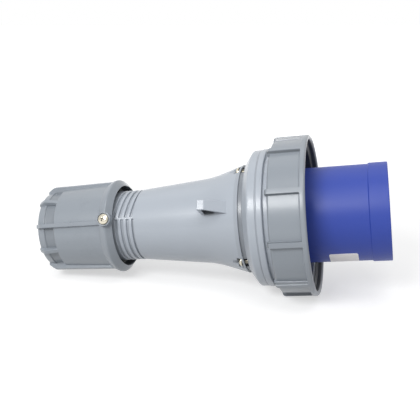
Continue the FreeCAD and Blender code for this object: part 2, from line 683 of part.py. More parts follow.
def gland_nut():
    """The clamp nut: mouth flange, tapered wall, pockets before the rear rim, and ribs over all."""
    flange = NUT_STATION + NUT_FACE_RISE
    wall_start = flange + NUT_FLANGE_T
    rim = NUT_END - NUT_RIM
    edge_r = nut_body_radius(NUT_POCKET_STATION)
    floor_r = min(NUT_BORE_R + NUT_POCKET_WALL, edge_r - NUT_POCKET_STEP)
    body = turned([
        (NUT_STATION, NUT_MOUTH_R, 0.4), (flange, NUT_FLANGE_R, 1.2),
        (wall_start, NUT_BODY_R + 1.2, 1.0), (wall_start + 1.0, NUT_BODY_R, 0.8),
        (NUT_POCKET_STATION, edge_r, 0.8), (NUT_POCKET_STATION + 1.0, floor_r, 0.8),
        (rim - 0.4, floor_r, 0.6), (rim, nut_body_radius(rim), 0.6), (NUT_END, NUT_END_R, 1.4),
        (NUT_END, NUT_EXIT_R + NUT_EXIT_FLARE, 0.9), (NUT_SEAT + 1.5, NUT_EXIT_R, 4.0),
        (NUT_SEAT, NUT_EXIT_R), (NUT_SEAT, NUT_BORE_R, 1.0),
        (NUT_STATION + NUT_MOUTH_DEPTH + 3.0, NUT_BORE_R),
        (NUT_STATION + NUT_MOUTH_DEPTH, NUT_MOUTH_R - 0.5),
    ])
    crest_r = nut_body_radius(NUT_SHOULDER_STATION) + NUT_RIB_HEIGHT + NUT_FIN_RISE
    root_r = floor_r - NUT_RIB_ROOT
    rear = [
        (NUT_SHOULDER_STATION, crest_r, 2.0), (NUT_END, NUT_END_R + 0.4, 0.8),
        (NUT_END, root_r), (NUT_POCKET_STATION - 2.0, root_r),
    ]
    long_rib = plate([
        (wall_start - 1.0, NUT_BODY_R - 2.0), (wall_start - 1.0, NUT_BODY_R + NUT_RIB_HEIGHT, 0.5),
    ] + rear, NUT_RIB_WIDTH)
    short_rib = plate([
        (NUT_POCKET_STATION - 2.0, edge_r - 0.3), (NUT_POCKET_STATION, edge_r + 0.3, 1.0),
    ] + rear, NUT_RIB_WIDTH)
    bore = rod(NUT_STATION, NUT_SEAT, NUT_BORE_R)
    ribs = around(long_rib.cut(bore), NUT_RIB_COUNT, NUT_RIB_ANGLE)
    ribs += around(short_rib.cut(bore), NUT_RIB_COUNT, NUT_RIB_ANGLE - 180.0 / NUT_RIB_COUNT)
    boss = radial_rod(flange, NUT_MOUTH_R + 1.0, NUT_FLANGE_R + BOSS_RISE, BOSS_R)
    hole = radial_rod(flange, NECK_R, NUT_FLANGE_R + 2, SHANK_R + SCREW_FIT)
    nut = body.fuse(ribs + [spun(boss, LOCK_SCREW_ANGLE)]).cut(spun(hole, LOCK_SCREW_ANGLE))
    return nut.removeSplitter()


def gland_lock_screw():
    """The screw that locks the gland nut, its tip just clear of the neck."""
    seat = NUT_FLANGE_R + BOSS_RISE
    screw = turned([
        (-LOCK_HEAD_T, 0), (-LOCK_HEAD_T, LOCK_HEAD_R, LOCK_HEAD_T * 0.7), (0, LOCK_HEAD_R, 0.2),
        (0, SHANK_R), (seat - NECK_R - GAP, SHANK_R, 0.5), (seat - NECK_R - GAP, 0),
    ])
    screw.rotate(ORIGIN, V(0, 1, 0), -90)
    screw.translate(V(-NUT_STATION - NUT_FACE_RISE, 0, seat))
    return spun(screw, LOCK_SCREW_ANGLE)


def blank_label():
    """The plain white label stuck on the sleeve."""
    inner = SLEEVE_R + LABEL_FILM
    patch = turned([
        (LABEL_STATION, inner), (LABEL_STATION, inner + LABEL_T),
        (LABEL_STATION + LABEL_LENGTH, inner + LABEL_T), (LABEL_STATION + LABEL_LENGTH, inner),
    ], LABEL_SWEEP)
    patch.rotate(ORIGIN, AXIS, -LABEL_SWEEP / 2)
    return spun(patch, LABEL_ANGLE)


def floor_gap(ring, nut, tilt):
    """How much lower the ring reaches than the nut when the plug's mouth is lifted by a tilt."""
    low = []
    for shape in (ring, nut):
        copy = shape.copy()
        copy.rotate(ORIGIN, V(0, 1, 0), -tilt)
        low.append(copy.optimalBoundingBox().ZMin)
    return low[1] - low[0]


def rest_tilt(ring, nut):
    """The tilt at which the ring's ribs and the nut touch the floor together."""
    before, after = 5.0, 8.0
    gap_before = floor_gap(ring, nut, before)
    gap_after = floor_gap(ring, nut, after)
    while abs(gap_after) > 0.002:
        step = gap_after * (after - before) / (gap_after - gap_before)
        before, gap_before = after, gap_after
        after -= step
        gap_after = floor_gap(ring, nut, after)
    return after


def main():
    earth, line, neutral = contact_angles()
    parts = {
        "plug_sleeve": plug_sleeve(),
        "sleeve_gasket": sleeve_gasket(),
        "face_seal": face_seal(),
        "sleeve_screws": sleeve_screws(),
        "contact_carrier": contact_carrier(),
        "carrier_plate": carrier_plate(),
        "carrier_screws": carrier_screws(),
        "line_pin": placed_pin(LINE_TIP, LINE_PIN_R, line),
        "neutral_pin": placed_pin(LINE_TIP, LINE_PIN_R, neutral),
        "earth_pin": placed_pin(EARTH_TIP, EARTH_PIN_R, earth),
        "pilot_pin": placed_pin(PILOT_TIP, PILOT_PIN_R, None, TERMINAL_LENGTH * 0.6),
        "terminal_screws": terminal_screws(),
        "front_housing": front_housing(),
        "locking_ring": locking_ring(),
        "handle_body": handle_body(),
        "housing_gasket": housing_gasket(),
        "housing_screws": housing_screws(),
        "gland_seal": gland_seal(),
        "gland_slip_ring": gland_slip_ring(),
        "gland_nut": gland_nut(),
        "gland_lock_screw": gland_lock_screw(),
        "blank_label": blank_label(),
    }
    tilt = rest_tilt(parts["locking_ring"], parts["gland_nut"])
    for shape in parts.values():
        shape.rotate(ORIGIN, V(0, 1, 0), -tilt)
    box = Part.makeCompound(list(parts.values())).optimalBoundingBox()
    shift = V(-(box.XMin + box.XMax) / 2, -(box.YMin + box.YMax) / 2, -box.ZMin)
    os.makedirs("parts", exist_ok=True)
    for name, shape in parts.items():
        shape.translate(shift)
        shape.exportStep("parts/" + name + ".step")
    print("tilt", round(tilt, 3), "shift", [round(v, 3) for v in shift])


main()
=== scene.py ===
"""The industrial pin and sleeve plug as it looks: its visible pieces, finishes and stage."""
import json
import math
from typing import NamedTuple

import bmesh
import bpy
from bpy.props import FloatProperty, FloatVectorProperty, IntProperty, PointerProperty
from mathutils import Matrix, Vector


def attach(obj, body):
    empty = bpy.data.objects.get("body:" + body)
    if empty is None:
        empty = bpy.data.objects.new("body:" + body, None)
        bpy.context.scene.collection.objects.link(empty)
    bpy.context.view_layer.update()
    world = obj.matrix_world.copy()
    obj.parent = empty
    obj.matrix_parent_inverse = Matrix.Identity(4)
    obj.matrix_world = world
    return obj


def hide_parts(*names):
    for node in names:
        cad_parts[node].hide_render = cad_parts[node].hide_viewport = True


bl_info = {
    "name": "Pin and Sleeve Plug",
    "version": (1, 0, 0),
    "blender": (4, 5, 0),
    "location": "3D View > Sidebar > Plug",
    "description": "Builds the visible pieces of an industrial pin and sleeve plug",
    "category": "Object",
}

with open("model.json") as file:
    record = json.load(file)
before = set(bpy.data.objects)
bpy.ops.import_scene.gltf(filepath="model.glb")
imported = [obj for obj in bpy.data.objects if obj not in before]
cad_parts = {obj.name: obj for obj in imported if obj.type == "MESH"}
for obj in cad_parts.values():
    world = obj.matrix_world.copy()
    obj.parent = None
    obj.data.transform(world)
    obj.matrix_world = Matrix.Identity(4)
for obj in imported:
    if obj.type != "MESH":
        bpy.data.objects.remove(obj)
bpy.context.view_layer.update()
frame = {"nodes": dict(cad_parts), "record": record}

MM = 0.001
TURN = math.tau
MERGE = 0.002 * MM

# The plug's own axis, from the mouth of its sleeve
MOUNTS = {mount["name"]: mount for mount in frame["record"]["mounts"]}
MOUTH = Vector(MOUNTS["socket_mouth"]["pos_m"])
AXIS = Vector(MOUNTS["socket_mouth"]["axis"]).normalized()
TILT = math.atan2(AXIS.z, AXIS.x)
LAY = Matrix.Translation(MOUTH) @ Matrix.Rotation(-TILT, 4, "Y")

# The mesh attribute that marks painted shade in recesses and under parts, and how much of a colour
# the painted shade keeps
PAINTED_SHADE = "painted_shade"
SHADE_TINT = 0.12

# Colours of the stains on bare metal, as light
ZINC_STAIN = (0.50, 0.45, 0.33)
BRASS_STAIN = (0.42, 0.26, 0.10)

# Edge roundings, and the turn past which an edge shades sharp
FINE = 0.25 * MM
EDGE = 0.5 * MM
SOFT = 1.0 * MM
CREASE = math.radians(32.0)


def size(label, millimetres, words):
    """A length property, given in millimetres and kept in metres."""
    return FloatProperty(name=label, description=words, default=millimetres * MM, unit="LENGTH")


def bearing(label, degrees, words):
    """An angle property, given in degrees."""
    return FloatProperty(name=label, description=words, default=math.radians(degrees),
                         subtype="ANGLE")


def number(label, count, words):
    """A whole number property."""
    return IntProperty(name=label, description=words, default=count, min=1)


def paint(label, red, green, blue, words):
    """A colour property, given as it shows on a screen and kept as light."""
    shown = [value / 255 for value in (red, green, blue)]
    light = [v / 12.92 if v <= 0.04045 else ((v + 0.055) / 1.055) ** 2.4 for v in shown]
    return FloatVectorProperty(name=label, description=words, default=light, size=3,
                               min=0.0, max=1.0, subtype="COLOR")


class SleeveSizes(bpy.types.PropertyGroup):
    """Sizes of the coloured sleeve and its label."""

    bore_radius: size("Bore Radius", 31.5, "Inner radius of the sleeve")
    wall_radius: size("Wall Radius", 34.8, "Outer radius of the sleeve's wall")
    collar_radius: size("Collar Radius", 35.5, "Outer radius of the end collar")
    collar_length: size("Collar Length", 13.2, "Length of the end collar")
    length: size("Length", 70.9, "Length from the mouth to the flange")
    flange_radius: size("Flange Radius", 50.0, "Outer radius of the flange")
    flange_thickness: size("Flange Thickness", 4.2, "Thickness of the flange")
    recess_radius: size("Recess Radius", 34.3, "Radius of the recess behind the flange")
    recess_depth: size("Recess Depth", 3.65, "Depth of the recess behind the flange")
    key_angle: bearing("Key Angle", -153.0, "Place of the key round the axis")
    key_width: size("Key Width", 8.0, "Width of the key")
    key_height: size("Key Height", 2.2, "Height of the key above the wall")
    key_length: size("Key Length", 46.0, "Length of the key")
    label_angle: bearing("Label Angle", -48.0, "Place of the label round the axis")
    label_sweep: bearing("Label Sweep", 26.0, "How far the label reaches round the sleeve")
    label_station: size("Label Station", 23.2, "Distance of the label from the mouth")
    label_length: size("Label Length", 20.0, "Length of the label along the sleeve")
    label_thickness: size("Label Thickness", 0.2, "Thickness of the label")
    label_corner: size("Label Corner", 1.6, "Corner radius of the label")


class RingSizes(bpy.types.PropertyGroup):
    """Sizes of the locking ring."""

    radius: size("Radius", 59.2, "Outer radius over the ribs")
    lip_station: size("Lip Station", 53.3, "Station of the front lip")
    lip_thickness: size("Lip Thickness", 3.6, "Radial thickness of the front lip")
    band: size("Band", 3.8, "Length of the full band behind the lip")
    panel_radius: size("Panel Radius", 56.5, "Outer radius of the panels")
    bore_radius: size("Bore Radius", 53.5, "Inner radius behind the panels")
    track_radius: size("Track Radius", 46.05, "Radius of the web's bore")
    web_front: size("Web Front", 76.2, "Station of the web's front face")
    web_rear: size("Web Rear", 79.5, "Station of the web's rear face")
    ribs: number("Ribs", 10, "Number of ribs")
    rib_width: size("Rib Width", 4.0, "Width of a rib")
    rib_tail: size("Rib Tail", 1.5, "How far a rib reaches past the rear face")
    ramp_sweep: bearing("Ramp Sweep", 78.0, "How far an inner ramp reaches round the ring")
    ramp_angle: bearing("Ramp Angle", -105.0, "Place of the first inner ramp")
    ramp_height: size("Ramp Height", 3.2, "Height of the inner ramps")
    ramp_rise: size("Ramp Rise", 7.0, "How far a ramp leans along the axis")
    ramp_thickness: size("Ramp Thickness", 5.0, "Thickness of a ramp at its start")


class HousingSizes(bpy.types.PropertyGroup):
    """Sizes of the front housing and the screws behind it."""

    front: size("Front", 75.9, "Station of the front face")
    bore_radius: size("Bore Radius", 30.5, "Inner radius")
    track_radius: size("Track Radius", 46.0, "Radius that the ring turns on")
    shoulder_station: size("Shoulder Station", 79.8, "Station of the stop shoulder")
    shoulder_radius: size("Shoulder Radius", 48.6, "Radius of the stop shoulder")
    drum_station: size("Drum Station", 83.6, "Station where the drum starts")
    drum_radius: size("Drum Radius", 51.2, "Radius of the drum")
    seam_station: size("Seam Station", 87.8, "Station where the drum's groove starts")
    seam_width: size("Seam Width", 1.2, "Width of the drum's groove")
    seam_depth: size("Seam Depth", 0.8, "Depth of the drum's groove")
    bead_radius: size("Bead Radius", 50.7, "Radius of the drum behind its groove")
    cone_station: size("Cone Station", 94.2, "Station where the cone starts")
    rear: size("Rear", 100.0, "Station of the rear face")
    rear_radius: size("Rear Radius", 42.5, "Radius of the rear face")
    hub_bore: size("Hub Bore", 33.8, "Radius of the seat for the handle's hub")
    screw_circle: size("Screw Circle", 37.0, "Radius of the circle of the handle's screws")
    screws: number("Screws", 3, "Number of the handle's screws")
    screw_angle: bearing("Screw Angle", -155.0, "Place of the first of the handle's screws")
    core_radius: size("Core Radius", 1.3, "Radius of the small core holes in the cone")
    core_offset: size("Core Offset", 7.4, "How far a core hole lies outside its screw")
    core_depth: size("Core Depth", 8.0, "Depth of a core hole")


class HandleSizes(bpy.types.PropertyGroup):
    """Sizes of the handle, its neck and its cord lug."""

    hub_front: size("Hub Front", 94.4, "Station where the hub starts")
    hub_radius: size("Hub Radius", 33.5, "Radius of the hub")
    hub_wall: size("Hub Wall", 3.2, "Wall thickness of the hub")
    gasket: size("Gasket", 1.2, "Thickness of the gasket before the hub")
    front: size("Front", 103.0, "Station of the front edge of the flare")
    front_radius: size("Front Radius", 40.9, "Radius of the front edge")
    spacer_radius: size("Spacer Radius", 39.5, "Radius of the step inside the joint")
    relief_radius: size("Relief Radius", 5.6, "Radius of the clearance round a screw in the joint")
    flare_end: size("Flare End", 127.9, "Station where the flare ends")
    flare_radius: size("Flare Radius", 32.8, "Radius where the flare ends")
    flare_reach: size("Flare Reach", 8.0, "How far the bend at the flare's end reaches")
    wall: size("Wall", 3.5, "Wall thickness")
    neck_station: size("Neck Station", 186.0, "Station where the neck starts")
    neck_radius: size("Neck Radius", 27.3, "Radius of the neck")
    neck_end: size("Neck End", 205.0, "Station where the neck ends")
    spigot_radius: size("Spigot Radius", 26.2, "Root radius of the threaded spigot")
    spigot_end: size("Spigot End", 252.0, "Station of the spigot's end")
    spigot_bore: size("Spigot Bore", 22.3, "Inner radius of the spigot")
    grooves: number("Grooves", 4, "Number of grooves in the neck")
    groove_pitch: size("Groove Pitch", 4.5, "Distance between grooves")
    groove_width: size("Groove Width", 2.1, "Width of a groove")
    groove_depth: size("Groove Depth", 1.4, "Depth of a groove")
    groove_lean: bearing("Groove Lean", 14.0, "Tilt of the grooves on the upper side")
    upper_lead: size("Upper Lead", 5.8, "How far behind the neck's start the upper grooves start")
    lower_lead: size("Lower Lead", 0.4, "How far behind the neck's start the lower grooves start")
    land_angle: bearing("Land Angle", 30.5, "Place of the land between the two sets of grooves")
    land_width: size("Land Width", 1.8, "Width of the land")
    pocket_radius: size("Pocket Radius", 6.2, "Radius of the scoops round the screw heads")
    pocket_offset: size("Pocket Offset", 2.6, "How far a scoop lies outside its screw")
    pocket_length: size("Pocket Length", 3.6, "Length of a scoop")
    way_radius: size("Way Radius", 3.1, "Radius of the way in for the screwdriver")
    way_tilt: bearing("Way Tilt", 35.0, "How far the way in leans out")
    seat: size("Seat", 104.7, "Station that the screw heads rest on")
    lug_angle: bearing("Lug Angle", 34.0, "Place of the cord lug round the axis")
    lug_crest: size("Lug Crest", 45.0, "Radius of the lug's crest")
    lug_station: size("Lug Station", 126.2, "Station where the crest starts")
    lug_length: size("Lug Length", 5.4, "Length of the crest")
    lug_width: size("Lug Width", 7.3, "Width of the lug")
    lug_spread: size("Lug Spread", 1.8, "How much wider the lug is at its foot")
    lug_strap: size("Lug Strap", 2.2, "Thickness of the lug's strap")
    lug_wall: size("Lug Wall", 3.0, "Thickness of the lug's ends")
    lug_foot: size("Lug Foot", 110.5, "Station where the strap meets the flare")
    lug_foot_radius: size("Lug Foot Radius", 37.7, "Radius where the strap meets the flare")


class NutSizes(bpy.types.PropertyGroup):
    """Sizes of the gland nut."""

    station: size("Station", 201.0, "Station of the mouth")
    mouth_radius: size("Mouth Radius", 31.4, "Inner radius of the mouth")
    mouth_depth: size("Mouth Depth", 7.0, "Depth of the mouth")
    flange_radius: size("Flange Radius", 36.65, "Radius of the flange")
    face_rise: size("Face Rise", 4.6, "Length of the flange's slanted face")
    flange_length: size("Flange Length", 4.4, "Length of the flange behind its crest")
    body_radius: size("Body Radius", 33.6, "Radius of the wall behind the flange")
    taper: FloatProperty(name="Taper", description="Loss of radius along the wall", default=0.036)
    rib_height: size("Rib Height", 1.9, "Height of a rib above the wall")
    rib_width: size("Rib Width", 3.4, "Width of a rib")
    ribs: number("Ribs", 5, "Number of long ribs, and of short ones between them")
    rib_angle: bearing("Rib Angle", 24.0, "Place of the first long rib")
    fin_rise: size("Fin Rise", 0.7, "How much higher the ribs stand at the shoulder")
    pocket_station: size("Pocket Station", 249.5, "Station where the pockets start")
    pocket_radius: size("Pocket Radius", 29.8, "Radius of the floor of the pockets")
    shoulder: size("Shoulder", 259.5, "Station where the ribs bend down")
    end_radius: size("End Radius", 30.6, "Outer radius of the rear rim")
    end: size("End", 264.8, "Station of the rear face")
    rim: size("Rim", 6.4, "Length of the rear rim")
    rim_drop: size("Rim Drop", 1.2, "How much lower the rim lies between the ribs")
    exit_radius: size("Exit Radius", 18.0, "Radius of the cable's way out")
    exit_flare: size("Exit Flare", 2.5, "How far the way out opens")
    seat: size("Seat", 259.55, "Station that the thrust ring rests on")
    bore_radius: size("Bore Radius", 27.6, "Radius of the bore")
    boss_radius: size("Boss Radius", 5.4, "Radius of the boss under the lock screw")
    boss_rise: size("Boss Rise", 0.3, "Height of the boss above the flange")
    boss_collar: size("Boss Collar", 1.0, "Height of the collar round the lock screw's head")
    boss_gap: size("Boss Gap", 0.55, "Clearance between the collar and the lock screw's head")
    screw_angle: bearing("Screw Angle", 27.5, "Place of the lock screw round the axis")
    head_radius: size("Head Radius", 4.0, "Head radius of the lock screw")
    head_height: size("Head Height", 2.3, "Head height of the lock screw")


class PlugColours(bpy.types.PropertyGroup):
    """Colours of the plug's finishes."""

    handle: paint("Handle", 166, 173, 182, "Pale grey of the handle and the front housing")
    ring: paint("Ring", 139, 146, 154, "Grey of the locking ring and the gland nut")
    sleeve: paint("Sleeve", 41, 66, 160, "Blue of the sleeve")
    carrier: paint("Carrier", 46, 47, 50, "Dark grey of the contact carrier")
    brass: paint("Brass", 214, 178, 98, "Brass of the contacts")
    zinc: paint("Zinc", 224, 220, 208, "Bright zinc of the screws")
    rubber: paint("Rubber", 38, 38, 40, "Black rubber of the seals")
    nylon: paint("Nylon", 226, 224, 214, "Natural nylon of the thrust ring")
    label: paint("Label", 255, 250, 249, "White film of the label")


class StageLight(bpy.types.PropertyGroup):
    """The floor, the lamps and the camera."""

    floor: paint("Floor", 200, 200, 200, "Colour of the floor")
    floor_lift: FloatProperty(name="Floor Lift", description="Glow that the floor shows",
                              default=0.55)
    key_power: FloatProperty(name="Key Power", description="Power of the lamp before the handle",
                             default=6.1, unit="POWER")
    back_power: FloatProperty(name="Back Power", description="Power of the lamp above and behind",
                              default=1.3, unit="POWER")
    side_power: FloatProperty(name="Side Power", description="Power of the lamp above the sleeve",
                              default=2.3, unit="POWER")
    sky: FloatProperty(name="Sky", description="Strength of the even light from all round",
                       default=0.4)
    lens: FloatProperty(name="Lens", description="Focal length in millimetres", default=56.37)
    roll: bearing("Roll", -0.964, "Turn of the camera about its line of sight")


class Value:
    """A node socket that takes part in Python expressions, each of which adds its Math node."""

    def __init__(self, tree, socket):
        self.tree = tree
        self.socket = socket

    def maths(self, operation, first, second):
        """The result of a Math node on two values or numbers."""
        node = self.tree.nodes.new("ShaderNodeMath")
        node.operation = operation
        for place, value in zip(node.inputs, (first, second)):
            if isinstance(value, Value):
                self.tree.links.new(value.socket, place)
            else:
                place.default_value = value
        return Value(self.tree, node.outputs[0])

    def __add__(self, other):
        return self.maths("ADD", self, other)

    def __sub__(self, other):
        return self.maths("SUBTRACT", self, other)

    def __rsub__(self, other):
        return self.maths("SUBTRACT", other, self)

    def __mul__(self, other):
        return self.maths("MULTIPLY", self, other)

    def __truediv__(self, other):
        return self.maths("DIVIDE", self, other)

    def larger(self, other):
        return self.maths("MAXIMUM", self, other)

    def smaller(self, other):
        return self.maths("MINIMUM", self, other)

    __radd__ = __add__
    __rmul__ = __mul__


class Shading:
    """A node tree in the making."""

    def __init__(self, owner):
        owner.use_nodes = True
        self.tree = owner.node_tree

    def node(self, kind, settings, feeds, out=0):
        """One node of a kind: its settings first, then the values or links of its sockets."""
        node = self.tree.nodes.new(kind)
        for name, value in settings.items():
            setattr(node, name, value)
        for name, value in feeds.items():
            if isinstance(value, Value):
                self.tree.links.new(value.socket, node.inputs[name])
            else:
                node.inputs[name].default_value = value
        return Value(self.tree, node.outputs[out])

    def shown(self):
        """1 where the camera, or a glossy or clear surface, looks at the background."""
        looks = [self.node("ShaderNodeLightPath", {}, {}, f"Is {kind} Ray")
                 for kind in ("Camera", "Glossy", "Transmission")]
        return looks[0].larger(looks[1]).larger(looks[2])


class Hollow(NamedTuple):
    """Where shade is painted, between two stations and two radii, and how strong it is."""

    shade: float
    start: float
    end: float
    inner: float
    outer: float


class Finish(Shading):
    """A material in the making: its shader, and the nodes that feed it."""

    def __init__(self, name, **fixed):
        self.material = bpy.data.materials.new(name)
        super().__init__(self.material)
        self.shader = self.tree.nodes["Principled BSDF"]
        for socket, value in fixed.items():
            self.shader.inputs[socket.replace("_", " ")].default_value = value
        self.place = self.node("ShaderNodeTexCoord", {}, {}, "Object")
        self.axial = self.node("ShaderNodeMapping", {"vector_type": "TEXTURE"}, {
            "Vector": self.place, "Location": MOUTH, "Rotation": (0.0, -TILT, 0.0)})

    def noise(self, scale, detail, place=None, roughness=0.5):
        """Soft noise of a scale in waves a metre."""
        return self.node("ShaderNodeTexNoise", {"noise_dimensions": "3D"}, {
            "Vector": place or self.place, "Scale": scale, "Detail": detail,
            "Roughness": roughness})

    def stretched(self, along, across):
        """The plug's own coordinates, squeezed along or across its axis."""
        return self.node("ShaderNodeVectorMath", {"operation": "MULTIPLY"}, {
            0: self.axial, 1: (along, across, across)})

    def mixed(self, factor, first, second):
        """A colour between two others."""
        return self.node("ShaderNodeMix", {"data_type": "RGBA"}, {
            "Factor": factor, 6: first, 7: second}, 2)

    def inside(self, hollow):
        """1 inside a hollow, with soft borders, and 0 elsewhere."""
        away = self.node("ShaderNodeVectorMath", {"operation": "LENGTH"}, {
            0: self.stretched(0.0, 1.0)}, "Value")
        station = self.node("ShaderNodeVectorMath", {"operation": "DOT_PRODUCT"}, {
            0: self.axial, 1: (-1.0, 0.0, 0.0)}, "Value")
        reach = ((station - hollow.start) / SOFT).smaller((hollow.end - station) / SOFT)
        band = ((hollow.outer - away) / EDGE).smaller((away - hollow.inner) / EDGE)
        return reach.smaller(band).smaller(1.0).larger(0.0)

    def marked(self):
        """1 where the mesh is marked for painted shade."""
        return self.node("ShaderNodeAttribute", {"attribute_name": PAINTED_SHADE}, {}, "Fac")

    def feed(self, socket, value):
        """Links a value to a socket of the shader."""
        self.tree.links.new(value.socket, self.shader.inputs[socket])

    def bump(self, height, distance, strength):
        """Relief from a height between 0 and 1."""
        self.feed("Normal", self.node("ShaderNodeBump", {}, {
            "Height": height, "Distance": distance, "Strength": strength}))


def tinted(colour, factor):
    """A colour made darker or paler by a factor, with full alpha."""
    return tuple(min(1.0, value * factor) for value in colour) + (1.0,)


def moulded_plastic(name, colour, gloss, grain, hollows=(), sheen=0.3):
    """Satin injection moulded plastic: fine spark grain, faint flow marks and cloudy gloss, with
    painted shade in its hollows and where the mesh is marked."""
    finish = Finish(name, IOR=1.5, Coat_Weight=sheen, Coat_Roughness=0.16)
    clouds = finish.noise(38.0, 3.0)
    flow = finish.noise(60.0, 2.0, finish.stretched(0.25, 1.0))
    speck = finish.noise(5200.0, 1.0)
    tone = clouds * 0.45 + flow * 0.35 + speck * 0.2
    base = finish.mixed(tone, tinted(colour, 0.93), tinted(colour, 1.07))
    # A dark tint of the colour, painted as shade in the hollows and where the mesh is marked
    shade_colour = tinted(colour, SHADE_TINT)
    for hollow in hollows:
        base = finish.mixed(finish.inside(hollow) * hollow.shade, base, shade_colour)
    base = finish.mixed(finish.marked() * 0.9, base, shade_colour)
    finish.feed("Base Color", base)
    finish.feed("Roughness", clouds * 0.10 + flow * 0.06 + speck * 0.06 + (gloss - 0.11))
    spark = finish.noise(3400.0, 3.0, roughness=0.6)
    sink = finish.noise(26.0, 1.0)
    finish.bump(spark * grain + sink * 0.6, 0.10 * MM, 0.35)
    return finish.material


def metal(name, colour, rough, stain, stretch):
    """Bright metal with fine tool marks, a faint cloudy stain and painted shade where the mesh is
    marked.
    """
    finish = Finish(name, Metallic=1.0)
    clouds = finish.noise(240.0, 3.0)
    marks = finish.noise(900.0, 3.0, finish.stretched(*stretch))
    bare = finish.mixed(clouds, tinted(colour, 1.0), tinted(stain, 1.0))
    # Painted shade, the stain's colour darkened, where the mesh is marked
    finish.feed("Base Color", finish.mixed(finish.marked(), bare, tinted(stain, 0.1)))
    finish.feed("Roughness", clouds * 0.14 + marks * 0.12 + (rough - 0.13))
    finish.bump(marks, 0.02 * MM, 0.4)
    return finish.material


def rubber(name, colour):
    """Matt black rubber with a dusty bloom."""
    finish = Finish(name, IOR=1.48)
    bloom = finish.noise(90.0, 4.0)
    grain = finish.noise(2600.0, 2.0)
    finish.feed("Base Color", finish.mixed(bloom, tinted(colour, 0.8), tinted(colour, 1.6)))
    finish.feed("Roughness", bloom * 0.15 + grain * 0.1 + 0.55)
    finish.bump(grain, 0.05 * MM, 0.5)
    return finish.material


def label_film(name, colour):
    """White satin label film with a faint weave and slightly grey dust."""
    finish = Finish(name, IOR=1.46)
    dust = finish.noise(180.0, 4.0)
    grain = finish.noise(4200.0, 2.0)
    finish.feed("Base Color", finish.mixed(dust, tinted(colour, 0.95), tinted(colour, 1.03)))
    finish.feed("Roughness", dust * 0.12 + grain * 0.08 + 0.35)
    finish.bump(grain * 0.7 + dust * 0.6, 0.02 * MM, 0.4)
    return finish.material


def at(station, radius, angle):
    """The place of a station and radius, at an angle up from the viewer's side."""
    return Vector((-station, -radius * math.cos(angle), radius * math.sin(angle)))


def ease(value):
    """A soft step from 0 to 1."""
    value = min(max(value, 0.0), 1.0)
    return value * value * (3 - 2 * value)


def within(angle, middle, half, spread):
    """1 inside a sector round the axis and 0 outside it, with soft flanks."""
    away = abs((angle - middle + TURN / 2) % TURN - TURN / 2)
    return ease((half + spread - away) / (2 * spread))


def blend(first, second, share):
    """Corners between two outlines that have the same number of them."""
    return [tuple(a + (b - a) * share for a, b in zip(one, other))
            for one, other in zip(first, second)]


def rounded(corners, steps=5):
    """The points of a closed outline, with an arc at each corner that has a reach."""
    points = []
    for i, corner in enumerate(corners):
        here = Vector(corner[:2])
        if len(corner) < 3 or corner[2] == 0.0:
            points.append(here)
            continue
        back = Vector(corners[i - 1][:2]) - here
        ahead = Vector(corners[(i + 1) % len(corners)][:2]) - here
        reach = min(corner[2], 0.49 * back.length, 0.49 * ahead.length)
        start = here + back.normalized() * reach
        end = here + ahead.normalized() * reach
        pull = math.sin(back.angle(ahead) / 2)
        count = corner[3] if len(corner) > 3 else steps
        for k in range(count + 1):
            t = k / count
            a, b, c = (1 - t) ** 2, 2 * pull * t * (1 - t), t ** 2
            points.append((start * a + here * b + end * c) / (a + b + c))
    return points


def even(count):
    """Evenly spaced angles, once round the axis."""
    return [TURN / 4 - TURN * i / count for i in range(count)]


def refined(flanks, spread, count, fine=8):
    """Even angles with a finer set across each flank where the shape changes."""
    angles = [spot + spread * (1 - 2 * i / fine) for spot in flanks for i in range(fine + 1)]
    step = TURN / count
    for angle in even(count):
        gaps = [abs((angle - spot + TURN / 2) % TURN - TURN / 2) for spot in flanks]
        if min(gaps) > spread + step * 0.4:
            angles.append(angle)
    return sorted((angle % TURN for angle in angles), reverse=True)


def turned(mesh, profile, angles):
    """Spins a profile round the axis and gives each column of points the form that it has
    at that column's own angle."""
    row = mesh.verts.layers.int.get("row") or mesh.verts.layers.int.new("row")
    shapes = [profile(angle) for angle in angles]
    verts = [mesh.verts.new((-point[0], 0.0, point[1])) for point in shapes[0]]
    for i, vert in enumerate(verts):
        vert[row] = i + 1
    edges = [mesh.edges.new(pair) for pair in zip(verts, verts[1:] + verts[:1])]
    bmesh.ops.spin(mesh, geom=verts + edges, cent=(0, 0, 0), axis=(1, 0, 0), dvec=(0, 0, 0),
                   angle=TURN, steps=len(angles), use_merge=True, use_duplicate=False)
    step = TURN / len(angles)
    for vert in mesh.verts:
        if vert[row]:
            spin = math.atan2(-vert.co.y, vert.co.z)
            column = round(spin / step) % len(angles)
            point = shapes[column][vert[row] - 1]
            vert.co = at(point[0], point[1], angles[column])
            vert[row] = 0


def ring_of(mesh, corners, count):
    """A plain turned ring of one profile."""
    points = rounded(corners)
    turned(mesh, lambda angle: points, even(count))


def round_bar(mesh, outline, count):
    """A turned bar whose outline starts and ends on its own axis, which points along -X."""
    points = rounded(outline)
    verts = [mesh.verts.new((-point[0], 0.0, point[1])) for point in points]
    edges = [mesh.edges.new(pair) for pair in zip(verts, verts[1:])]
    bmesh.ops.spin(mesh, geom=verts + edges, cent=(0, 0, 0), axis=(1, 0, 0), dvec=(0, 0, 0),
                   angle=TURN, steps=count, use_merge=True, use_duplicate=False)
    bmesh.ops.remove_doubles(mesh, verts=mesh.verts, dist=MERGE)


def slab(mesh, corners, width):
    """A flat plate in the axial plane above the axis, of a width across it."""
    face = mesh.faces.new([mesh.verts.new((-p[0], -width / 2, p[1])) for p in rounded(corners)])
    made = bmesh.ops.extrude_face_region(mesh, geom=[face])
    moved = [item for item in made["geom"] if isinstance(item, bmesh.types.BMVert)]
    bmesh.ops.translate(mesh, verts=moved, vec=(0, width, 0))
    bmesh.ops.recalc_face_normals(mesh, faces=mesh.faces)


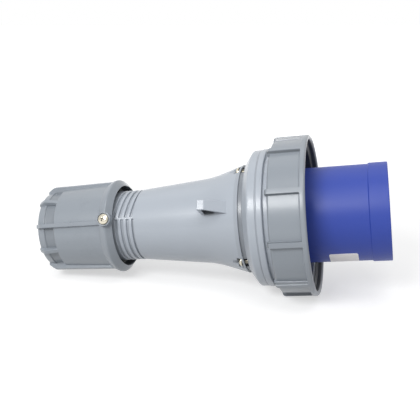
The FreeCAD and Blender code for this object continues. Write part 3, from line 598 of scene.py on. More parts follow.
def softened(mesh, width):
    """Rounds every edge that turns by more than the crease angle."""
    edges = [edge for edge in mesh.edges
             if len(edge.link_faces) == 2 and edge.calc_face_angle() > CREASE]
    bmesh.ops.bevel(mesh, geom=edges, offset=width, offset_type="OFFSET", segments=3,
                    profile=0.5, affect="EDGES", clamp_overlap=True, material=-1)


def spun(angle):
    """The turn from above the axis to an angle up from the viewer's side."""
    return Matrix.Rotation(TURN / 4 - angle, 4, "X")


def spots(count, first):
    """Turns to evenly spaced angles round the axis."""
    return [spun(first - TURN * i / count) for i in range(count)]


def copied(mesh, source, matrices):
    """Adds a copy of a mesh at each place, and frees the source."""
    data = bpy.data.meshes.new("copy")
    source.to_mesh(data)
    source.free()
    for matrix in matrices:
        start = len(mesh.verts)
        mesh.from_mesh(data)
        mesh.verts.ensure_lookup_table()
        bmesh.ops.transform(mesh, matrix=matrix, verts=mesh.verts[start:])
    bpy.data.meshes.remove(data)


def holder(mesh):
    """A helper object that holds a copy of a mesh for a boolean."""
    data = bpy.data.meshes.new("helper")
    bmesh.ops.recalc_face_normals(mesh, faces=mesh.faces)
    mesh.to_mesh(data)
    thing = bpy.data.objects.new("helper", data)
    bpy.context.scene.collection.objects.link(thing)
    return thing


def carved(mesh, tool, operation="DIFFERENCE"):
    """Cuts a tool out of a mesh, or joins it on, and frees the tool."""
    block = holder(mesh)
    cutter = holder(tool)
    tool.free()
    cut = block.modifiers.new("Cut", "BOOLEAN")
    cut.operation = operation
    cut.solver = "MANIFOLD"
    cut.object = cutter
    graph = bpy.context.evaluated_depsgraph_get()
    result = bpy.data.meshes.new_from_object(block.evaluated_get(graph))
    if not result.polygons:
        raise RuntimeError("the boolean left nothing")
    mesh.clear()
    mesh.from_mesh(result)
    for thing in (block, cutter):
        bpy.data.meshes.remove(thing.data)
    bpy.data.meshes.remove(result)


def drilled(mesh, outline, count, places):
    """Cuts a turned bar out of a mesh at each place."""
    bar = bmesh.new()
    round_bar(bar, outline, count)
    tool = bmesh.new()
    copied(tool, bar, places)
    carved(mesh, tool)


def piece(mesh, name, body, finish, node):
    """Lays a mesh down with the plug and adds it as the piece that rides on a body in place of
    a modelled node."""
    bmesh.ops.remove_doubles(mesh, verts=mesh.verts, dist=MERGE)
    bmesh.ops.recalc_face_normals(mesh, faces=mesh.faces)
    bmesh.ops.transform(mesh, matrix=LAY, verts=mesh.verts)
    data = bpy.data.meshes.new(name)
    mesh.to_mesh(data)
    mesh.free()
    data.shade_smooth()
    data.set_sharp_from_angle(angle=CREASE)
    data.materials.append(finish)
    made = bpy.data.objects.new(name, data)
    bpy.context.scene.collection.objects.link(made)
    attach(made, body)
    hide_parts(node)
    weighted = made.modifiers.new("Even shading", "WEIGHTED_NORMAL")
    weighted.keep_sharp = True


class PLUG_OT_sleeve(bpy.types.Operator):
    """Build the coloured sleeve with its collar, key and flange"""

    bl_idname = "plug.sleeve"
    bl_label = "Sleeve"

    def execute(self, context):
        sizes = context.scene.plug_sleeve
        key_front = 1.5 * MM
        step = 0.7 * MM
        key_top = sizes.wall_radius + sizes.key_height
        flange_rear = sizes.length + sizes.flange_thickness
        recess = flange_rear - sizes.recess_depth
        half = sizes.key_width / 2 / key_top
        spread = 0.3 * MM / key_top

        def outline(share):
            """Corners of the profile, where a share of 1 is at the key."""
            def raised(radius):
                return radius + (key_top - radius) * share
            return [
                (0, sizes.bore_radius, 0.8 * MM), (0, sizes.collar_radius, 0.7 * MM),
                (key_front, sizes.collar_radius, FINE),
                (key_front + 0.4 * MM, raised(sizes.collar_radius), FINE),
                (sizes.collar_length, raised(sizes.collar_radius), FINE),
                (sizes.collar_length + step, raised(sizes.wall_radius), FINE),
                (sizes.key_length - SOFT, raised(sizes.wall_radius), SOFT),
                (sizes.key_length + 2 * SOFT, sizes.wall_radius, EDGE),
                (sizes.length, sizes.wall_radius, EDGE),
                (sizes.length, sizes.flange_radius, EDGE),
                (flange_rear, sizes.flange_radius, FINE),
                (flange_rear, sizes.recess_radius, FINE),
                (recess, sizes.recess_radius, FINE), (recess, sizes.bore_radius, FINE),
            ]

        def profile(angle):
            return rounded(outline(within(angle, sizes.key_angle, half, spread)))

        mesh = bmesh.new()
        flanks = [sizes.key_angle - half, sizes.key_angle + half]
        turned(mesh, profile, refined(flanks, spread, 360))
        colours = context.scene.plug_colours
        finish = moulded_plastic("Blue sleeve plastic", colours.sleeve, 0.46, 0.8, sheen=0.0)
        piece(mesh, "sleeve", "plug_body", finish, "plug_sleeve")
        return {"FINISHED"}


class PLUG_OT_label(bpy.types.Operator):
    """Build the blank label on the sleeve"""

    bl_idname = "plug.label"
    bl_label = "Label"

    def execute(self, context):
        sizes = context.scene.plug_sleeve
        radius = sizes.wall_radius + 0.03 * MM
        across = sizes.label_sweep * radius
        mesh = bmesh.new()
        corner = sizes.label_corner
        start = sizes.label_station
        outline = rounded([
            (start, -across / 2, corner), (start + sizes.label_length, -across / 2, corner),
            (start + sizes.label_length, across / 2, corner), (start, across / 2, corner),
        ])
        face = mesh.faces.new([mesh.verts.new((p[0], p[1], 0.0)) for p in outline])
        made = bmesh.ops.extrude_face_region(mesh, geom=[face])
        moved = [item for item in made["geom"] if isinstance(item, bmesh.types.BMVert)]
        bmesh.ops.translate(mesh, verts=moved, vec=(0, 0, sizes.label_thickness))
        cuts = 24
        for i in range(1, cuts):
            bmesh.ops.bisect_plane(mesh, geom=mesh.verts[:] + mesh.edges[:] + mesh.faces[:],
                                   plane_co=(0, across * (i / cuts - 0.5), 0),
                                   plane_no=(0, 1, 0), dist=MERGE)
        for vert in mesh.verts:
            vert.co = at(vert.co.x, radius + vert.co.z, sizes.label_angle + vert.co.y / radius)
        finish = label_film("White label film", context.scene.plug_colours.label)
        piece(mesh, "label", "plug_body", finish, "blank_label")
        return {"FINISHED"}


class PLUG_OT_ring(bpy.types.Operator):
    """Build the bayonet ring with its ribs and inner ramps"""

    bl_idname = "plug.ring"
    bl_label = "Locking Ring"

    def execute(self, context):
        sizes = context.scene.plug_ring
        band_end = sizes.lip_station + sizes.band
        lip_bore = sizes.radius - sizes.lip_thickness
        rear = sizes.web_rear
        tail = rear + sizes.rib_tail
        ramp_start = band_end + 2.5 * MM
        lip_bend = 1.6 * MM
        rear_bend = 2.2 * MM
        panel = [
            (sizes.lip_station, lip_bore, lip_bend), (sizes.lip_station, sizes.radius, lip_bend),
            (band_end, sizes.radius, EDGE), (band_end + EDGE, sizes.panel_radius, EDGE),
            (rear, sizes.panel_radius - 0.3 * MM, rear_bend),
            (rear, sizes.bore_radius - 0.4 * MM, FINE), (rear, sizes.bore_radius - SOFT, FINE),
            (rear, sizes.track_radius, FINE), (sizes.web_front, sizes.track_radius, FINE),
        ]
        rib = [
            (sizes.lip_station, lip_bore, lip_bend), (sizes.lip_station, sizes.radius, lip_bend),
            (band_end, sizes.radius, EDGE), (band_end + 1.5 * MM, sizes.radius, EDGE),
            (tail - SOFT, sizes.radius, rear_bend), (tail, sizes.bore_radius + rear_bend, FINE),
            (rear, sizes.bore_radius + SOFT, FINE),
            (rear, sizes.track_radius, FINE), (sizes.web_front, sizes.track_radius, FINE),
        ]
        half = sizes.rib_width / 2 / sizes.radius
        spread = 0.3 * MM / sizes.radius
        rib_angles = [TURN * i / sizes.ribs for i in range(sizes.ribs)]
        ramp_angles = [sizes.ramp_angle, sizes.ramp_angle + TURN / 2]
        ramp_half = sizes.ramp_sweep / 2
        ramp_spread = 0.5 * MM / sizes.bore_radius

        def inside(angle):
            """Corners of the inner wall, with a ramp where there is one."""
            height = 0.0
            lean = 0.0
            for middle in ramp_angles:
                share = within(angle, middle, ramp_half, ramp_spread)
                if share > 0.0:
                    away = (angle - middle + TURN / 2) % TURN - TURN / 2
                    height = share * sizes.ramp_height
                    lean = (0.5 - away / sizes.ramp_sweep) * sizes.ramp_rise
            ramp_end = ramp_start + sizes.ramp_thickness + lean
            crest = sizes.bore_radius - height
            return [
                (sizes.web_front, sizes.bore_radius, SOFT),
                (ramp_end + 0.2 * MM, sizes.bore_radius, FINE), (ramp_end, crest, EDGE),
                (ramp_start, crest, EDGE), (ramp_start - 0.3 * MM, sizes.bore_radius, FINE),
                (band_end + 1.2 * MM, sizes.bore_radius, FINE),
                (band_end + 0.4 * MM, lip_bore, FINE),
            ]

        def profile(angle):
            share = max(within(angle, middle, half, spread) for middle in rib_angles)
            return rounded(blend(panel, rib, share) + inside(angle))

        flanks = [middle + side * half for middle in rib_angles for side in (-1, 1)]
        flanks += [middle + side * ramp_half for middle in ramp_angles for side in (-1, 1)]
        mesh = bmesh.new()
        turned(mesh, profile, refined(flanks, spread, 360))
        # Painted shade on the inner wall and the web, and painted shadow lines along the ribs'
        # flanks
        deep = sizes.web_front - 3 * MM
        bore_wall = Hollow(0.8, sizes.lip_station + EDGE, rear, sizes.bore_radius - SOFT,
                           lip_bore + EDGE)
        web = Hollow(0.8, deep, rear - SOFT, 0.0, lip_bore)
        rib_flanks = Hollow(0.5, band_end - EDGE, tail + SOFT, sizes.panel_radius + FINE,
                            sizes.radius - FINE)
        finish = moulded_plastic("Grey ring plastic", context.scene.plug_colours.ring, 0.31, 0.9,
                                 [bore_wall, web, rib_flanks], sheen=0.15)
        piece(mesh, "ring", "locking_ring", finish, "locking_ring")
        return {"FINISHED"}


class PLUG_OT_housing(bpy.types.Operator):
    """Build the drum behind the ring"""

    bl_idname = "plug.housing"
    bl_label = "Front Housing"

    def execute(self, context):
        sizes = context.scene.plug_housing
        handle = context.scene.plug_handle
        hub_seat = handle.hub_front - handle.gasket
        floor = sizes.drum_radius - sizes.seam_depth
        bead = sizes.seam_station + sizes.seam_width
        mesh = bmesh.new()
        ring_of(mesh, [
            (sizes.front, sizes.bore_radius, FINE), (sizes.front, sizes.track_radius, EDGE),
            (sizes.shoulder_station, sizes.track_radius, FINE),
            (sizes.shoulder_station, sizes.shoulder_radius, EDGE),
            (sizes.drum_station, sizes.shoulder_radius, FINE),
            (sizes.drum_station, sizes.drum_radius, SOFT),
            (sizes.seam_station, sizes.drum_radius, EDGE),
            (sizes.seam_station + 0.3 * MM, floor, FINE), (bead - 0.3 * MM, floor, FINE),
            (bead, sizes.bead_radius, EDGE), (sizes.cone_station, sizes.bead_radius, SOFT),
            (sizes.rear, sizes.rear_radius, 2.4 * MM), (sizes.rear, sizes.hub_bore, FINE),
            (hub_seat, sizes.hub_bore), (hub_seat, sizes.bore_radius),
        ], 360)
        deep = sizes.rear - sizes.core_depth
        offset = Matrix.Translation((0, 0, sizes.screw_circle + sizes.core_offset))
        drilled(mesh, [
            (deep, 0), (deep, sizes.core_radius),
            (sizes.rear + SOFT, sizes.core_radius), (sizes.rear + SOFT, 0),
        ], 32, [turn @ offset for turn in spots(sizes.screws, sizes.screw_angle)])
        # Painted shade on the cone and in the drum's groove
        cone = Hollow(0.18, sizes.cone_station, sizes.rear + SOFT, 0.0, sizes.bead_radius - EDGE)
        seam = Hollow(0.25, sizes.seam_station - EDGE, bead + EDGE, 0.0, sizes.drum_radius - FINE)
        finish = moulded_plastic("Pale housing plastic", context.scene.plug_colours.handle,
                                 0.36, 0.9, [cone, seam])
        piece(mesh, "housing", "plug_body", finish, "front_housing")
        return {"FINISHED"}


class PLUG_OT_handle(bpy.types.Operator):
    """Build the handle with its flare, grooved neck, thread, screw pockets and cord lug"""

    bl_idname = "plug.handle"
    bl_label = "Handle"

    def profile_at(self, sizes, joint, angle):
        """The handle's outline at an angle: the grooves of the neck fade out at the lands."""
        from_land = (angle - sizes.land_angle + TURN / 2) % TURN - TURN / 2
        upper = from_land > 0.0
        edge = sizes.land_width / 2
        arc = min(abs(from_land), TURN / 2 - abs(from_land)) * sizes.neck_radius
        depth = sizes.groove_depth * ease((arc - edge) / EDGE + 0.5)
        hub_bore = sizes.hub_radius - sizes.hub_wall
        corners = [
            (sizes.hub_front, hub_bore, FINE), (sizes.hub_front, sizes.hub_radius, EDGE),
            (joint, sizes.hub_radius, FINE), (joint, sizes.spacer_radius, FINE),
            (sizes.front, sizes.spacer_radius, FINE),
            (sizes.front, sizes.front_radius, 0.8 * MM),
            (sizes.flare_end, sizes.flare_radius, sizes.flare_reach, 24),
            (sizes.neck_station, sizes.neck_radius, SOFT),
        ]
        half = sizes.groove_width / 2
        bend = 0.4 * MM
        lead = sizes.lower_lead
        if upper:
            height = sizes.neck_radius * math.sin(angle)
            lead = sizes.upper_lead - math.tan(sizes.groove_lean) * height
        room = sizes.groove_width + EDGE
        for i in range(sizes.grooves):
            limit = sizes.neck_end - half - EDGE - (sizes.grooves - 1 - i) * room
            wanted = sizes.neck_station + lead + i * sizes.groove_pitch
            middle = min(wanted, limit)
            floor = sizes.neck_radius - depth * ease(1 - (wanted - limit) / half)
            corners += [
                (middle - half, sizes.neck_radius, bend, 3), (middle - half * 0.8, floor, bend, 3),
                (middle + half * 0.8, floor, bend, 3), (middle + half, sizes.neck_radius, bend, 3),
            ]
        corners += [
            (sizes.neck_end, sizes.neck_radius, FINE),
            (sizes.neck_end + 0.4 * MM, sizes.spigot_radius, FINE),
            (sizes.spigot_end, sizes.spigot_radius, SOFT),
            (sizes.spigot_end, sizes.spigot_bore, FINE),
            (sizes.neck_station + 10 * MM, sizes.spigot_bore, SOFT),
            (sizes.neck_station, sizes.neck_radius - sizes.wall, SOFT),
            (sizes.flare_end, sizes.flare_radius - sizes.wall, sizes.flare_reach, 8),
            (sizes.seat + 5.2 * MM, sizes.front_radius - sizes.wall - 2 * MM, SOFT),
            (sizes.seat + 2.2 * MM, hub_bore, FINE),
        ]
        return rounded(corners, 4)

    def lug(self, sizes):
        """The strap that stands off the flare, as one closed arch."""
        mesh = bmesh.new()
        strap = sizes.lug_strap
        back = sizes.lug_station + sizes.lug_length
        root = sizes.flare_radius - 2.6 * MM
        foot = sizes.lug_foot_radius
        wall = sizes.lug_wall
        slab(mesh, [
            (sizes.lug_foot, foot - 3 * MM), (sizes.lug_foot, foot, EDGE),
            (sizes.lug_station, sizes.lug_crest, EDGE), (back, sizes.lug_crest, 0.7 * MM),
            (back, root), (back - wall, root), (back - wall, sizes.lug_crest - strap, EDGE),
            (sizes.lug_station, sizes.lug_crest - strap, EDGE),
            (sizes.lug_foot + wall, foot - strap + 0.8 * MM, EDGE),
            (sizes.lug_foot + wall, foot - 4.5 * MM),
        ], sizes.lug_width)
        for vert in mesh.verts:
            if vert.co.y < 0.0:
                share = (sizes.lug_station + vert.co.x) / (sizes.lug_station - sizes.lug_foot)
                vert.co.y -= sizes.lug_spread * min(max(share, 0.0), 1.0)
        softened(mesh, 0.35 * MM)
        bmesh.ops.transform(mesh, matrix=spun(sizes.lug_angle), verts=mesh.verts)
        return mesh

    def execute(self, context):
        sizes = context.scene.plug_handle
        housing = context.scene.plug_housing
        flanks = [sizes.land_angle + side * sizes.land_width / 2 / sizes.neck_radius + half
                  for half in (0.0, TURN / 2) for side in (-1, 1)]
        spread = 0.4 * MM / sizes.neck_radius
        mesh = bmesh.new()
        turned(mesh, lambda angle: self.profile_at(sizes, housing.rear, angle),
               refined(flanks, spread, 300, 4))
        carved(mesh, self.lug(sizes), "UNION")
        turns = spots(housing.screws, housing.screw_angle)
        way_length = 40 * MM
        lean = Matrix.Rotation(sizes.way_tilt, 4, "Y")
        start = Matrix.Translation((-sizes.seat - SOFT, 0, housing.screw_circle))
        drilled(mesh, [
            (0, 0), (0, sizes.way_radius, EDGE), (way_length, sizes.way_radius), (way_length, 0),
        ], 64, [turn @ start @ lean for turn in turns])
        scoop_end = sizes.seat + sizes.pocket_length
        beyond = Matrix.Translation((0, 0, housing.screw_circle + sizes.pocket_offset))
        drilled(mesh, [
            (sizes.seat, 0), (sizes.seat, sizes.pocket_radius),
            (scoop_end, sizes.pocket_radius, SOFT), (scoop_end, 0),
        ], 64, [turn @ beyond for turn in turns])
        outwards = Matrix.Translation((0, 0, housing.screw_circle))
        drilled(mesh, [
            (housing.rear - SOFT, 0), (housing.rear - SOFT, sizes.relief_radius),
            (sizes.front, sizes.relief_radius), (sizes.front, 0),
        ], 48, [turn @ outwards for turn in turns])
        thread = bmesh.new()
        self.thread(thread, sizes)
        copied(mesh, thread, [Matrix.Identity(4)])
        self.paint_lug_shadow(mesh, sizes)
        # Painted shade in the neck's grooves, in the joint, along the flare's front edge and in the
        # scoops round the screw heads
        grooves = Hollow(0.25, sizes.neck_station - 3 * MM, sizes.neck_end, 0.0,
                         sizes.neck_radius - sizes.groove_depth / 2)
        joint = Hollow(0.5, sizes.hub_front, sizes.front + SOFT, 0.0, sizes.front_radius - EDGE)
        flare_edge = Hollow(0.15, sizes.front - 2 * MM, sizes.front + 3.5 * MM, 0.0,
                            sizes.front_radius + SOFT)
        scoops = Hollow(0.85, sizes.hub_front, scoop_end + SOFT, 0.0, housing.screw_circle + SOFT)
        finish = moulded_plastic("Pale handle plastic", context.scene.plug_colours.handle,
                                 0.36, 0.9, [grooves, joint, flare_edge, scoops])
        piece(mesh, "handle", "plug_body", finish, "handle_body")
        return {"FINISHED"}

    def paint_lug_shadow(self, mesh, sizes):
        """Marks a painted shadow under the strap of the lug."""
        painted_shade = mesh.verts.layers.float.new(PAINTED_SHADE)
        level = spun(sizes.lug_angle).inverted()
        start = sizes.lug_station - 6 * MM
        end = sizes.lug_station + sizes.lug_length - sizes.lug_wall + 0.3 * MM
        slope = (sizes.lug_crest - sizes.lug_foot_radius) / (sizes.lug_station - sizes.lug_foot)
        fade = 1.5 * MM
        side = sizes.lug_width / 2 + fade
        for vert in mesh.verts:
            spot = level @ vert.co
            station = -spot.x
            under = sizes.lug_crest - sizes.lug_strap + FINE
            under -= slope * max(0.0, sizes.lug_station - station)
            if sizes.flare_radius - fade < spot.z < under:
                reach = ease((station - start) / (2 * MM)) * ease((end - station) / FINE)
                vert[painted_shade] = reach * ease((side - abs(spot.y)) / fade)

    def thread(self, mesh, sizes):
        """The ridge of the gland's thread, wound round the spigot."""
        pitch = sizes.groove_pitch
        start = sizes.neck_end + 3 * MM
        turns = math.floor((sizes.spigot_end - start - 2 * MM) / pitch)
        root = sizes.spigot_radius - 0.2 * MM
        outline = rounded([
            (start, root), (start + pitch * 0.30, sizes.neck_radius, FINE),
            (start + pitch * 0.52, sizes.neck_radius, FINE), (start + pitch * 0.82, root),
        ], 2)
        verts = [mesh.verts.new((-point[0], 0.0, point[1])) for point in outline]
        face = mesh.faces.new(verts)
        bmesh.ops.spin(mesh, geom=[face], cent=(0, 0, 0), axis=(1, 0, 0),
                       dvec=(-pitch / 96, 0, 0), angle=TURN * turns, steps=96 * turns,
                       use_merge=False, use_duplicate=False)


class PLUG_OT_nut(bpy.types.Operator):
    """Build the gland nut with its ribs, pockets and boss"""

    bl_idname = "plug.nut"
    bl_label = "Gland Nut"

    def execute(self, context):
        sizes = context.scene.plug_nut
        crest = sizes.station + sizes.face_rise
        wall = crest + sizes.flange_length
        pocket = sizes.pocket_station
        shoulder = sizes.shoulder
        rim = sizes.end - sizes.rim

        def wall_radius(station):
            return sizes.body_radius - sizes.taper * (station - wall)

        edge_r = wall_radius(pocket)
        rib_r = wall_radius(shoulder) + sizes.rib_height + sizes.fin_rise
        end_r = sizes.end_radius + 0.4 * MM
        start_r = sizes.body_radius + sizes.rib_height
        front = [
            (sizes.station, sizes.mouth_radius, EDGE), (crest, sizes.flange_radius, 1.2 * MM),
        ]
        plain = [
            (wall, sizes.body_radius + 1.2 * MM, SOFT), (wall + SOFT, sizes.body_radius, 0.8 * MM),
            (pocket, edge_r, 0.6 * MM), (pocket + 1.2 * MM, sizes.pocket_radius, SOFT),
            (rim - 0.4 * MM, sizes.pocket_radius, 0.6 * MM),
            (rim, wall_radius(rim) - sizes.rim_drop, 0.7 * MM),
            (sizes.end, sizes.end_radius - sizes.rim_drop, 1.4 * MM),
        ]
        bend = [(shoulder, rib_r, 1.6 * MM), ((shoulder + sizes.end) / 2, (rib_r + end_r) / 2, FINE),
                (sizes.end, end_r, 0.8 * MM)]
        long_rib = [
            (wall - 1 * MM, start_r, EDGE), (wall + SOFT, start_r - 0.05 * MM, EDGE),
            (pocket, wall_radius(pocket) + sizes.rib_height + 0.5 * MM, SOFT),
            (pocket + 5 * MM, rib_r + 0.15 * MM, SOFT),
        ] + bend
        short_rib = plain[:2] + [
            (pocket - SOFT, edge_r + 0.1 * MM, EDGE), (pocket + SOFT, edge_r + 0.5 * MM, SOFT),
        ] + bend
        rear = [
            (sizes.end, sizes.exit_radius + sizes.exit_flare, 0.9 * MM),
            (sizes.seat + 1.5 * MM, sizes.exit_radius, 1.5 * MM, 8),
            (sizes.seat, sizes.exit_radius, FINE), (sizes.seat, sizes.bore_radius, SOFT),
            (sizes.station + sizes.mouth_depth + 3 * MM, sizes.bore_radius, SOFT),
            (sizes.station + sizes.mouth_depth, sizes.mouth_radius - 0.5 * MM, SOFT),
        ]
        half = sizes.rib_width / 2 / sizes.body_radius
        spread = 0.35 * MM / sizes.body_radius
        pitch = TURN / sizes.ribs
        long_angles = [sizes.rib_angle - pitch * i for i in range(sizes.ribs)]
        short_angles = [angle - pitch / 2 for angle in long_angles]

        def profile(angle):
            long_share = max(within(angle, middle, half, spread) for middle in long_angles)
            short_share = max(within(angle, middle, half, spread) for middle in short_angles)
            outer = blend(blend(plain, long_rib, long_share), short_rib, short_share)
            return rounded(front + outer + rear, 4)

        flanks = [middle + side * half for middle in long_angles + short_angles
                  for side in (-1, 1)]
        mesh = bmesh.new()
        turned(mesh, profile, refined(flanks, spread, 320))
        boss = bmesh.new()
        foot = sizes.mouth_radius + 1.5 * MM
        seat = sizes.flange_radius + sizes.boss_rise
        top = seat + sizes.boss_collar
        recess = sizes.head_radius + sizes.boss_gap
        round_bar(boss, [
            (foot, 0), (foot, sizes.boss_radius), (top, sizes.boss_radius, EDGE),
            (top, recess, FINE), (seat, recess), (seat, 0),
        ], 64)
        upright = Matrix.Translation((-crest, 0, 0)) @ Matrix.Rotation(TURN / 4, 4, "Y")
        bmesh.ops.transform(boss, matrix=spun(sizes.screw_angle) @ upright, verts=boss.verts)
        carved(mesh, boss, "UNION")
        # Painted shade in the mouth and in the pockets
        bore = Hollow(0.8, sizes.station + SOFT, pocket - sizes.rim, 0.0, sizes.mouth_radius + EDGE)
        pockets = Hollow(0.22, pocket - EDGE, rim + SOFT, sizes.bore_radius, edge_r - SOFT)
        finish = moulded_plastic("Grey nut plastic", context.scene.plug_colours.ring, 0.29, 0.9,
                                 [bore, pockets])
        piece(mesh, "nut", "gland_nut", finish, "gland_nut")
        return {"FINISHED"}


def cross_head(radius, height, shank, length):
    """A pan head screw with a cross recess, its seat at the origin and its head towards -X."""
    bend = radius * 0.3
    mesh = bmesh.new()
    round_bar(mesh, [
        (height, 0), (height * 0.97, radius * 0.55, bend, 8), (height * 0.55, radius, bend, 8),
        (0, radius, FINE), (0, shank), (-length, shank, EDGE), (-length, 0),
    ], 64)
    wing = Vector((height * 1.2, radius * 0.27, radius * 1.25))
    for turn in (0, TURN / 4):
        tool = bmesh.new()
        bmesh.ops.create_cube(tool, size=1.0)
        bmesh.ops.scale(tool, vec=wing, verts=tool.verts)
        bottom = [vert for vert in tool.verts if vert.co.x > 0]
        bmesh.ops.scale(tool, vec=(1, 0.5, 0.35), verts=bottom)
        bmesh.ops.translate(tool, vec=(-height * 0.95, 0, 0), verts=tool.verts)
        bmesh.ops.transform(tool, matrix=Matrix.Rotation(turn, 4, "X"), verts=tool.verts)
        carved(mesh, tool)
    # Marks painted shade in the cross recess and round the foot of the head
    painted_shade = mesh.verts.layers.float.new(PAINTED_SHADE)
    foot = height * 0.25
    for vert in mesh.verts:
        rise = -vert.co.x
        below = 0.0 <= rise < height * 0.6
        vert[painted_shade] = float(below and (rise < foot or vert.co.yz.length < radius * 0.6))
    return mesh


class PLUG_OT_screws(bpy.types.Operator):
    """Build the cross head screws of the sleeve, the handle and the gland nut"""

    bl_idname = "plug.screws"
    bl_label = "Screws"

    head_radius: size("Head Radius", 3.6, "Head radius of the handle's screws")
    head_height: size("Head Height", 2.9, "Head height of the handle's screws")
    outset: size("Outset", 0.5, "How far the handle's screws stand outside their circle")
    shank: size("Shank", 2.0, "Shank radius of the handle's screws")
    length: size("Length", 14.7, "Shank length of the handle's screws")
    front_circle: size("Front Circle", 43.0, "Radius of the circle of the sleeve's screws")
    front_head: size("Front Head", 3.0, "Head radius of the sleeve's screws")
    front_height: size("Front Height", 2.1, "Head height of the sleeve's screws")
    front_shank: size("Front Shank", 1.75, "Shank radius of the sleeve's screws")
    front_length: size("Front Length", 11.0, "Shank length of the sleeve's screws")

    def execute(self, context):
        handle = context.scene.plug_handle
        housing = context.scene.plug_housing
        sleeve = context.scene.plug_sleeve
        nut = context.scene.plug_nut
        colours = context.scene.plug_colours
        finish = metal("Yellow zinc", colours.zinc, 0.24, ZINC_STAIN, (1.0, 1.0))

        rear = bmesh.new()
        spot = Matrix.Translation((-handle.seat, 0, housing.screw_circle + self.outset))
        turns = spots(housing.screws, housing.screw_angle)
        copied(rear, cross_head(self.head_radius, self.head_height, self.shank, self.length),
               [turn @ spot @ Matrix.Rotation(0.5, 4, "X") for turn in turns])
        piece(rear, "handle_screws", "plug_body", finish, "housing_screws")

        front = bmesh.new()
        spot = Matrix.Translation((-sleeve.length, 0, self.front_circle))
        flip = Matrix.Rotation(TURN / 2, 4, "Z")
        turns = spots(4, sleeve.key_angle + TURN / 8)
        copied(front, cross_head(self.front_head, self.front_height, self.front_shank,
                                 self.front_length), [turn @ spot @ flip for turn in turns])
        piece(front, "flange_screws", "plug_body", finish, "sleeve_screws")

        lock = bmesh.new()
        seat = nut.flange_radius + nut.boss_rise
        length = seat - handle.neck_radius - 0.3 * MM
        crest = nut.station + nut.face_rise
        upright = Matrix.Translation((-crest, 0, seat)) @ Matrix.Rotation(TURN / 4, 4, "Y")
        copied(lock, cross_head(nut.head_radius, nut.head_height, self.shank, length),
               [spun(nut.screw_angle) @ upright @ Matrix.Rotation(0.35, 4, "X")])
        piece(lock, "lock_screw", "gland_nut", finish, "gland_lock_screw")
        return {"FINISHED"}


class PLUG_OT_inner(bpy.types.Operator):
    """Finish the contacts, seals and other inner pieces, which keep their modelled shapes"""

    bl_idname = "plug.inner"
    bl_label = "Inner Pieces"

    def execute(self, context):
        colours = context.scene.plug_colours
        black = moulded_plastic("Dark carrier plastic", colours.carrier, 0.5, 1.2, sheen=0.0)
        brass = metal("Turned brass", colours.brass, 0.24, BRASS_STAIN, (6.0, 1.0))
        zinc = metal("Inner zinc", colours.zinc, 0.28, ZINC_STAIN, (1.0, 1.0))
        seal = rubber("Seal rubber", colours.rubber)
        nylon = moulded_plastic("Natural nylon", colours.nylon, 0.45, 0.5)
        finishes = {
            "contact_carrier": black, "carrier_plate": black, "line_pin": brass,
            "neutral_pin": brass, "earth_pin": brass, "pilot_pin": brass,
            "carrier_screws": zinc, "terminal_screws": zinc, "face_seal": seal,
            "gland_seal": seal, "housing_gasket": seal, "sleeve_gasket": seal,
            "gland_slip_ring": nylon,
        }
        for name, finish in finishes.items():
            data = frame["nodes"][name].data
            data.materials.clear()
            data.materials.append(finish)
        return {"FINISHED"}


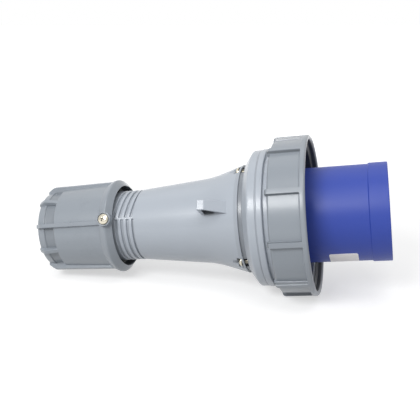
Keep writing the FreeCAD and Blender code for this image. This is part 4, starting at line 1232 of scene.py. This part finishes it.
class PLUG_OT_stage(bpy.types.Operator):
    """Set up the pale floor, the soft lamps and the camera"""

    bl_idname = "plug.stage"
    bl_label = "Stage"

    camera_spot: FloatVectorProperty(
        name="Camera Spot", description="Place of the camera, from the mouth along the plug",
        default=(-2.436 * MM, -461.326 * MM, 158.846 * MM), subtype="TRANSLATION")
    aim_spot: FloatVectorProperty(
        name="Aim Spot", description="What the camera looks at, from the mouth along the plug",
        default=(-133.199 * MM, 2.554 * MM, 7.845 * MM), subtype="TRANSLATION")
    floor_size: size("Floor Size", 6000.0, "Width of the floor")
    fade_start: size("Fade Start", 300.0, "How far out the floor starts to turn plain white")
    fade_length: size("Fade Length", 500.0, "Over what distance the floor turns plain white")

    def lamp(self, name, spot, aim, power, width, height):
        """A soft rectangular lamp that faces a point."""
        data = bpy.data.lights.new(name, "AREA")
        data.shape = "RECTANGLE"
        data.size = width
        data.size_y = height
        data.energy = power
        lamp = bpy.data.objects.new(name, data)
        lamp.location = spot
        lamp.rotation_mode = "QUATERNION"
        lamp.rotation_quaternion = (aim - spot).to_track_quat("-Z", "Y")
        bpy.context.scene.collection.objects.link(lamp)

    def floor(self, settings):
        """A wide pale floor that keeps the plug's soft shadow and is plain white far away."""
        mesh = bmesh.new()
        bmesh.ops.create_grid(mesh, x_segments=1, y_segments=1, size=self.floor_size / 2)
        data = bpy.data.meshes.new("floor")
        mesh.to_mesh(data)
        mesh.free()
        finish = Finish("Pale floor", Roughness=0.9)
        finish.shader.inputs["Base Color"].default_value = tinted(settings.floor, 1.0)
        finish.shader.inputs["Specular IOR Level"].default_value = 0.1
        away = finish.node("ShaderNodeVectorMath", {"operation": "LENGTH"}, {0: finish.place},
                           "Value")
        fade = ((away - self.fade_start) / self.fade_length).larger(0.0).smaller(1.0)
        glow = finish.node("ShaderNodeEmission", {}, {
            "Strength": finish.shown() * (fade + settings.floor_lift)})
        both = finish.node("ShaderNodeAddShader", {}, {
            0: Value(finish.tree, finish.shader.outputs[0]), 1: glow})
        finish.tree.links.new(both.socket, finish.tree.nodes["Material Output"].inputs["Surface"])
        data.materials.append(finish.material)
        floor = bpy.data.objects.new("floor", data)
        bpy.context.scene.collection.objects.link(floor)

    def world(self, strength):
        """Even white light, shown as plain white."""
        world = bpy.data.worlds.new("Studio")
        sky = Shading(world)
        ground = sky.tree.nodes["Background"]
        ground.inputs["Color"].default_value = (1.0, 1.0, 1.0, 1.0)
        level = sky.shown() * (1.0 - strength) + strength
        sky.tree.links.new(level.socket, ground.inputs["Strength"])
        bpy.context.scene.world = world

    def execute(self, context):
        settings = context.scene.plug_stage
        self.floor(settings)
        self.world(settings.sky)
        middle = LAY @ Vector(self.aim_spot)
        lamps = {
            "Key": (settings.key_power, (-0.28, -0.74, 0.63), 0.45, 0.28),
            "Back": (settings.back_power, (-0.1, 0.45, 0.9), 1.2, 0.5),
            "Side": (settings.side_power, (0.15, -0.36, 0.93), 0.7, 0.35),
        }
        for name, (power, offset, width, height) in lamps.items():
            self.lamp(name, middle + Vector(offset), middle, power, width, height)
        data = bpy.data.cameras.new("Camera")
        data.lens = settings.lens
        camera = bpy.data.objects.new("Camera", data)
        bpy.context.scene.collection.objects.link(camera)
        camera.location = LAY @ Vector(self.camera_spot)
        facing = (middle - camera.location).to_track_quat("-Z", "Y").to_matrix().to_4x4()
        camera.rotation_mode = "QUATERNION"
        roll = Matrix.Rotation(settings.roll, 4, "Z")
        camera.rotation_quaternion = (facing @ roll).to_quaternion()
        bpy.context.scene.camera = camera
        bpy.context.scene.view_settings.view_transform = "Standard"
        return {"FINISHED"}


class PLUG_PT_panel(bpy.types.Panel):
    """The sizes and colours of the plug, and a button for each piece"""

    bl_idname = "PLUG_PT_panel"
    bl_label = "Pin and Sleeve Plug"
    bl_space_type = "VIEW_3D"
    bl_region_type = "UI"
    bl_category = "Plug"

    def draw(self, context):
        for operator in OPERATORS:
            self.layout.operator(operator.bl_idname)
        for name in GROUPS:
            group = getattr(context.scene, name)
            box = self.layout.box()
            box.label(text=name.replace("_", " ").title())
            for setting in group.bl_rna.properties:
                if setting.identifier not in ("rna_type", "name"):
                    box.prop(group, setting.identifier)


GROUPS = {
    "plug_sleeve": SleeveSizes,
    "plug_ring": RingSizes,
    "plug_housing": HousingSizes,
    "plug_handle": HandleSizes,
    "plug_nut": NutSizes,
    "plug_colours": PlugColours,
    "plug_stage": StageLight,
}
OPERATORS = (PLUG_OT_stage, PLUG_OT_sleeve, PLUG_OT_label, PLUG_OT_ring, PLUG_OT_housing,
             PLUG_OT_handle, PLUG_OT_nut, PLUG_OT_screws, PLUG_OT_inner)


def register():
    for kind in (*GROUPS.values(), *OPERATORS, PLUG_PT_panel):
        bpy.utils.register_class(kind)
    for name, kind in GROUPS.items():
        setattr(bpy.types.Scene, name, PointerProperty(type=kind))


def unregister():
    for name in GROUPS:
        delattr(bpy.types.Scene, name)
    for kind in (PLUG_PT_panel, *reversed(OPERATORS), *reversed(GROUPS.values())):
        bpy.utils.unregister_class(kind)


def main():
    register()
    for operator in OPERATORS:
        group, name = operator.bl_idname.split(".")
        getattr(getattr(bpy.ops, group), name)()


if __name__ == "__main__":
    main()
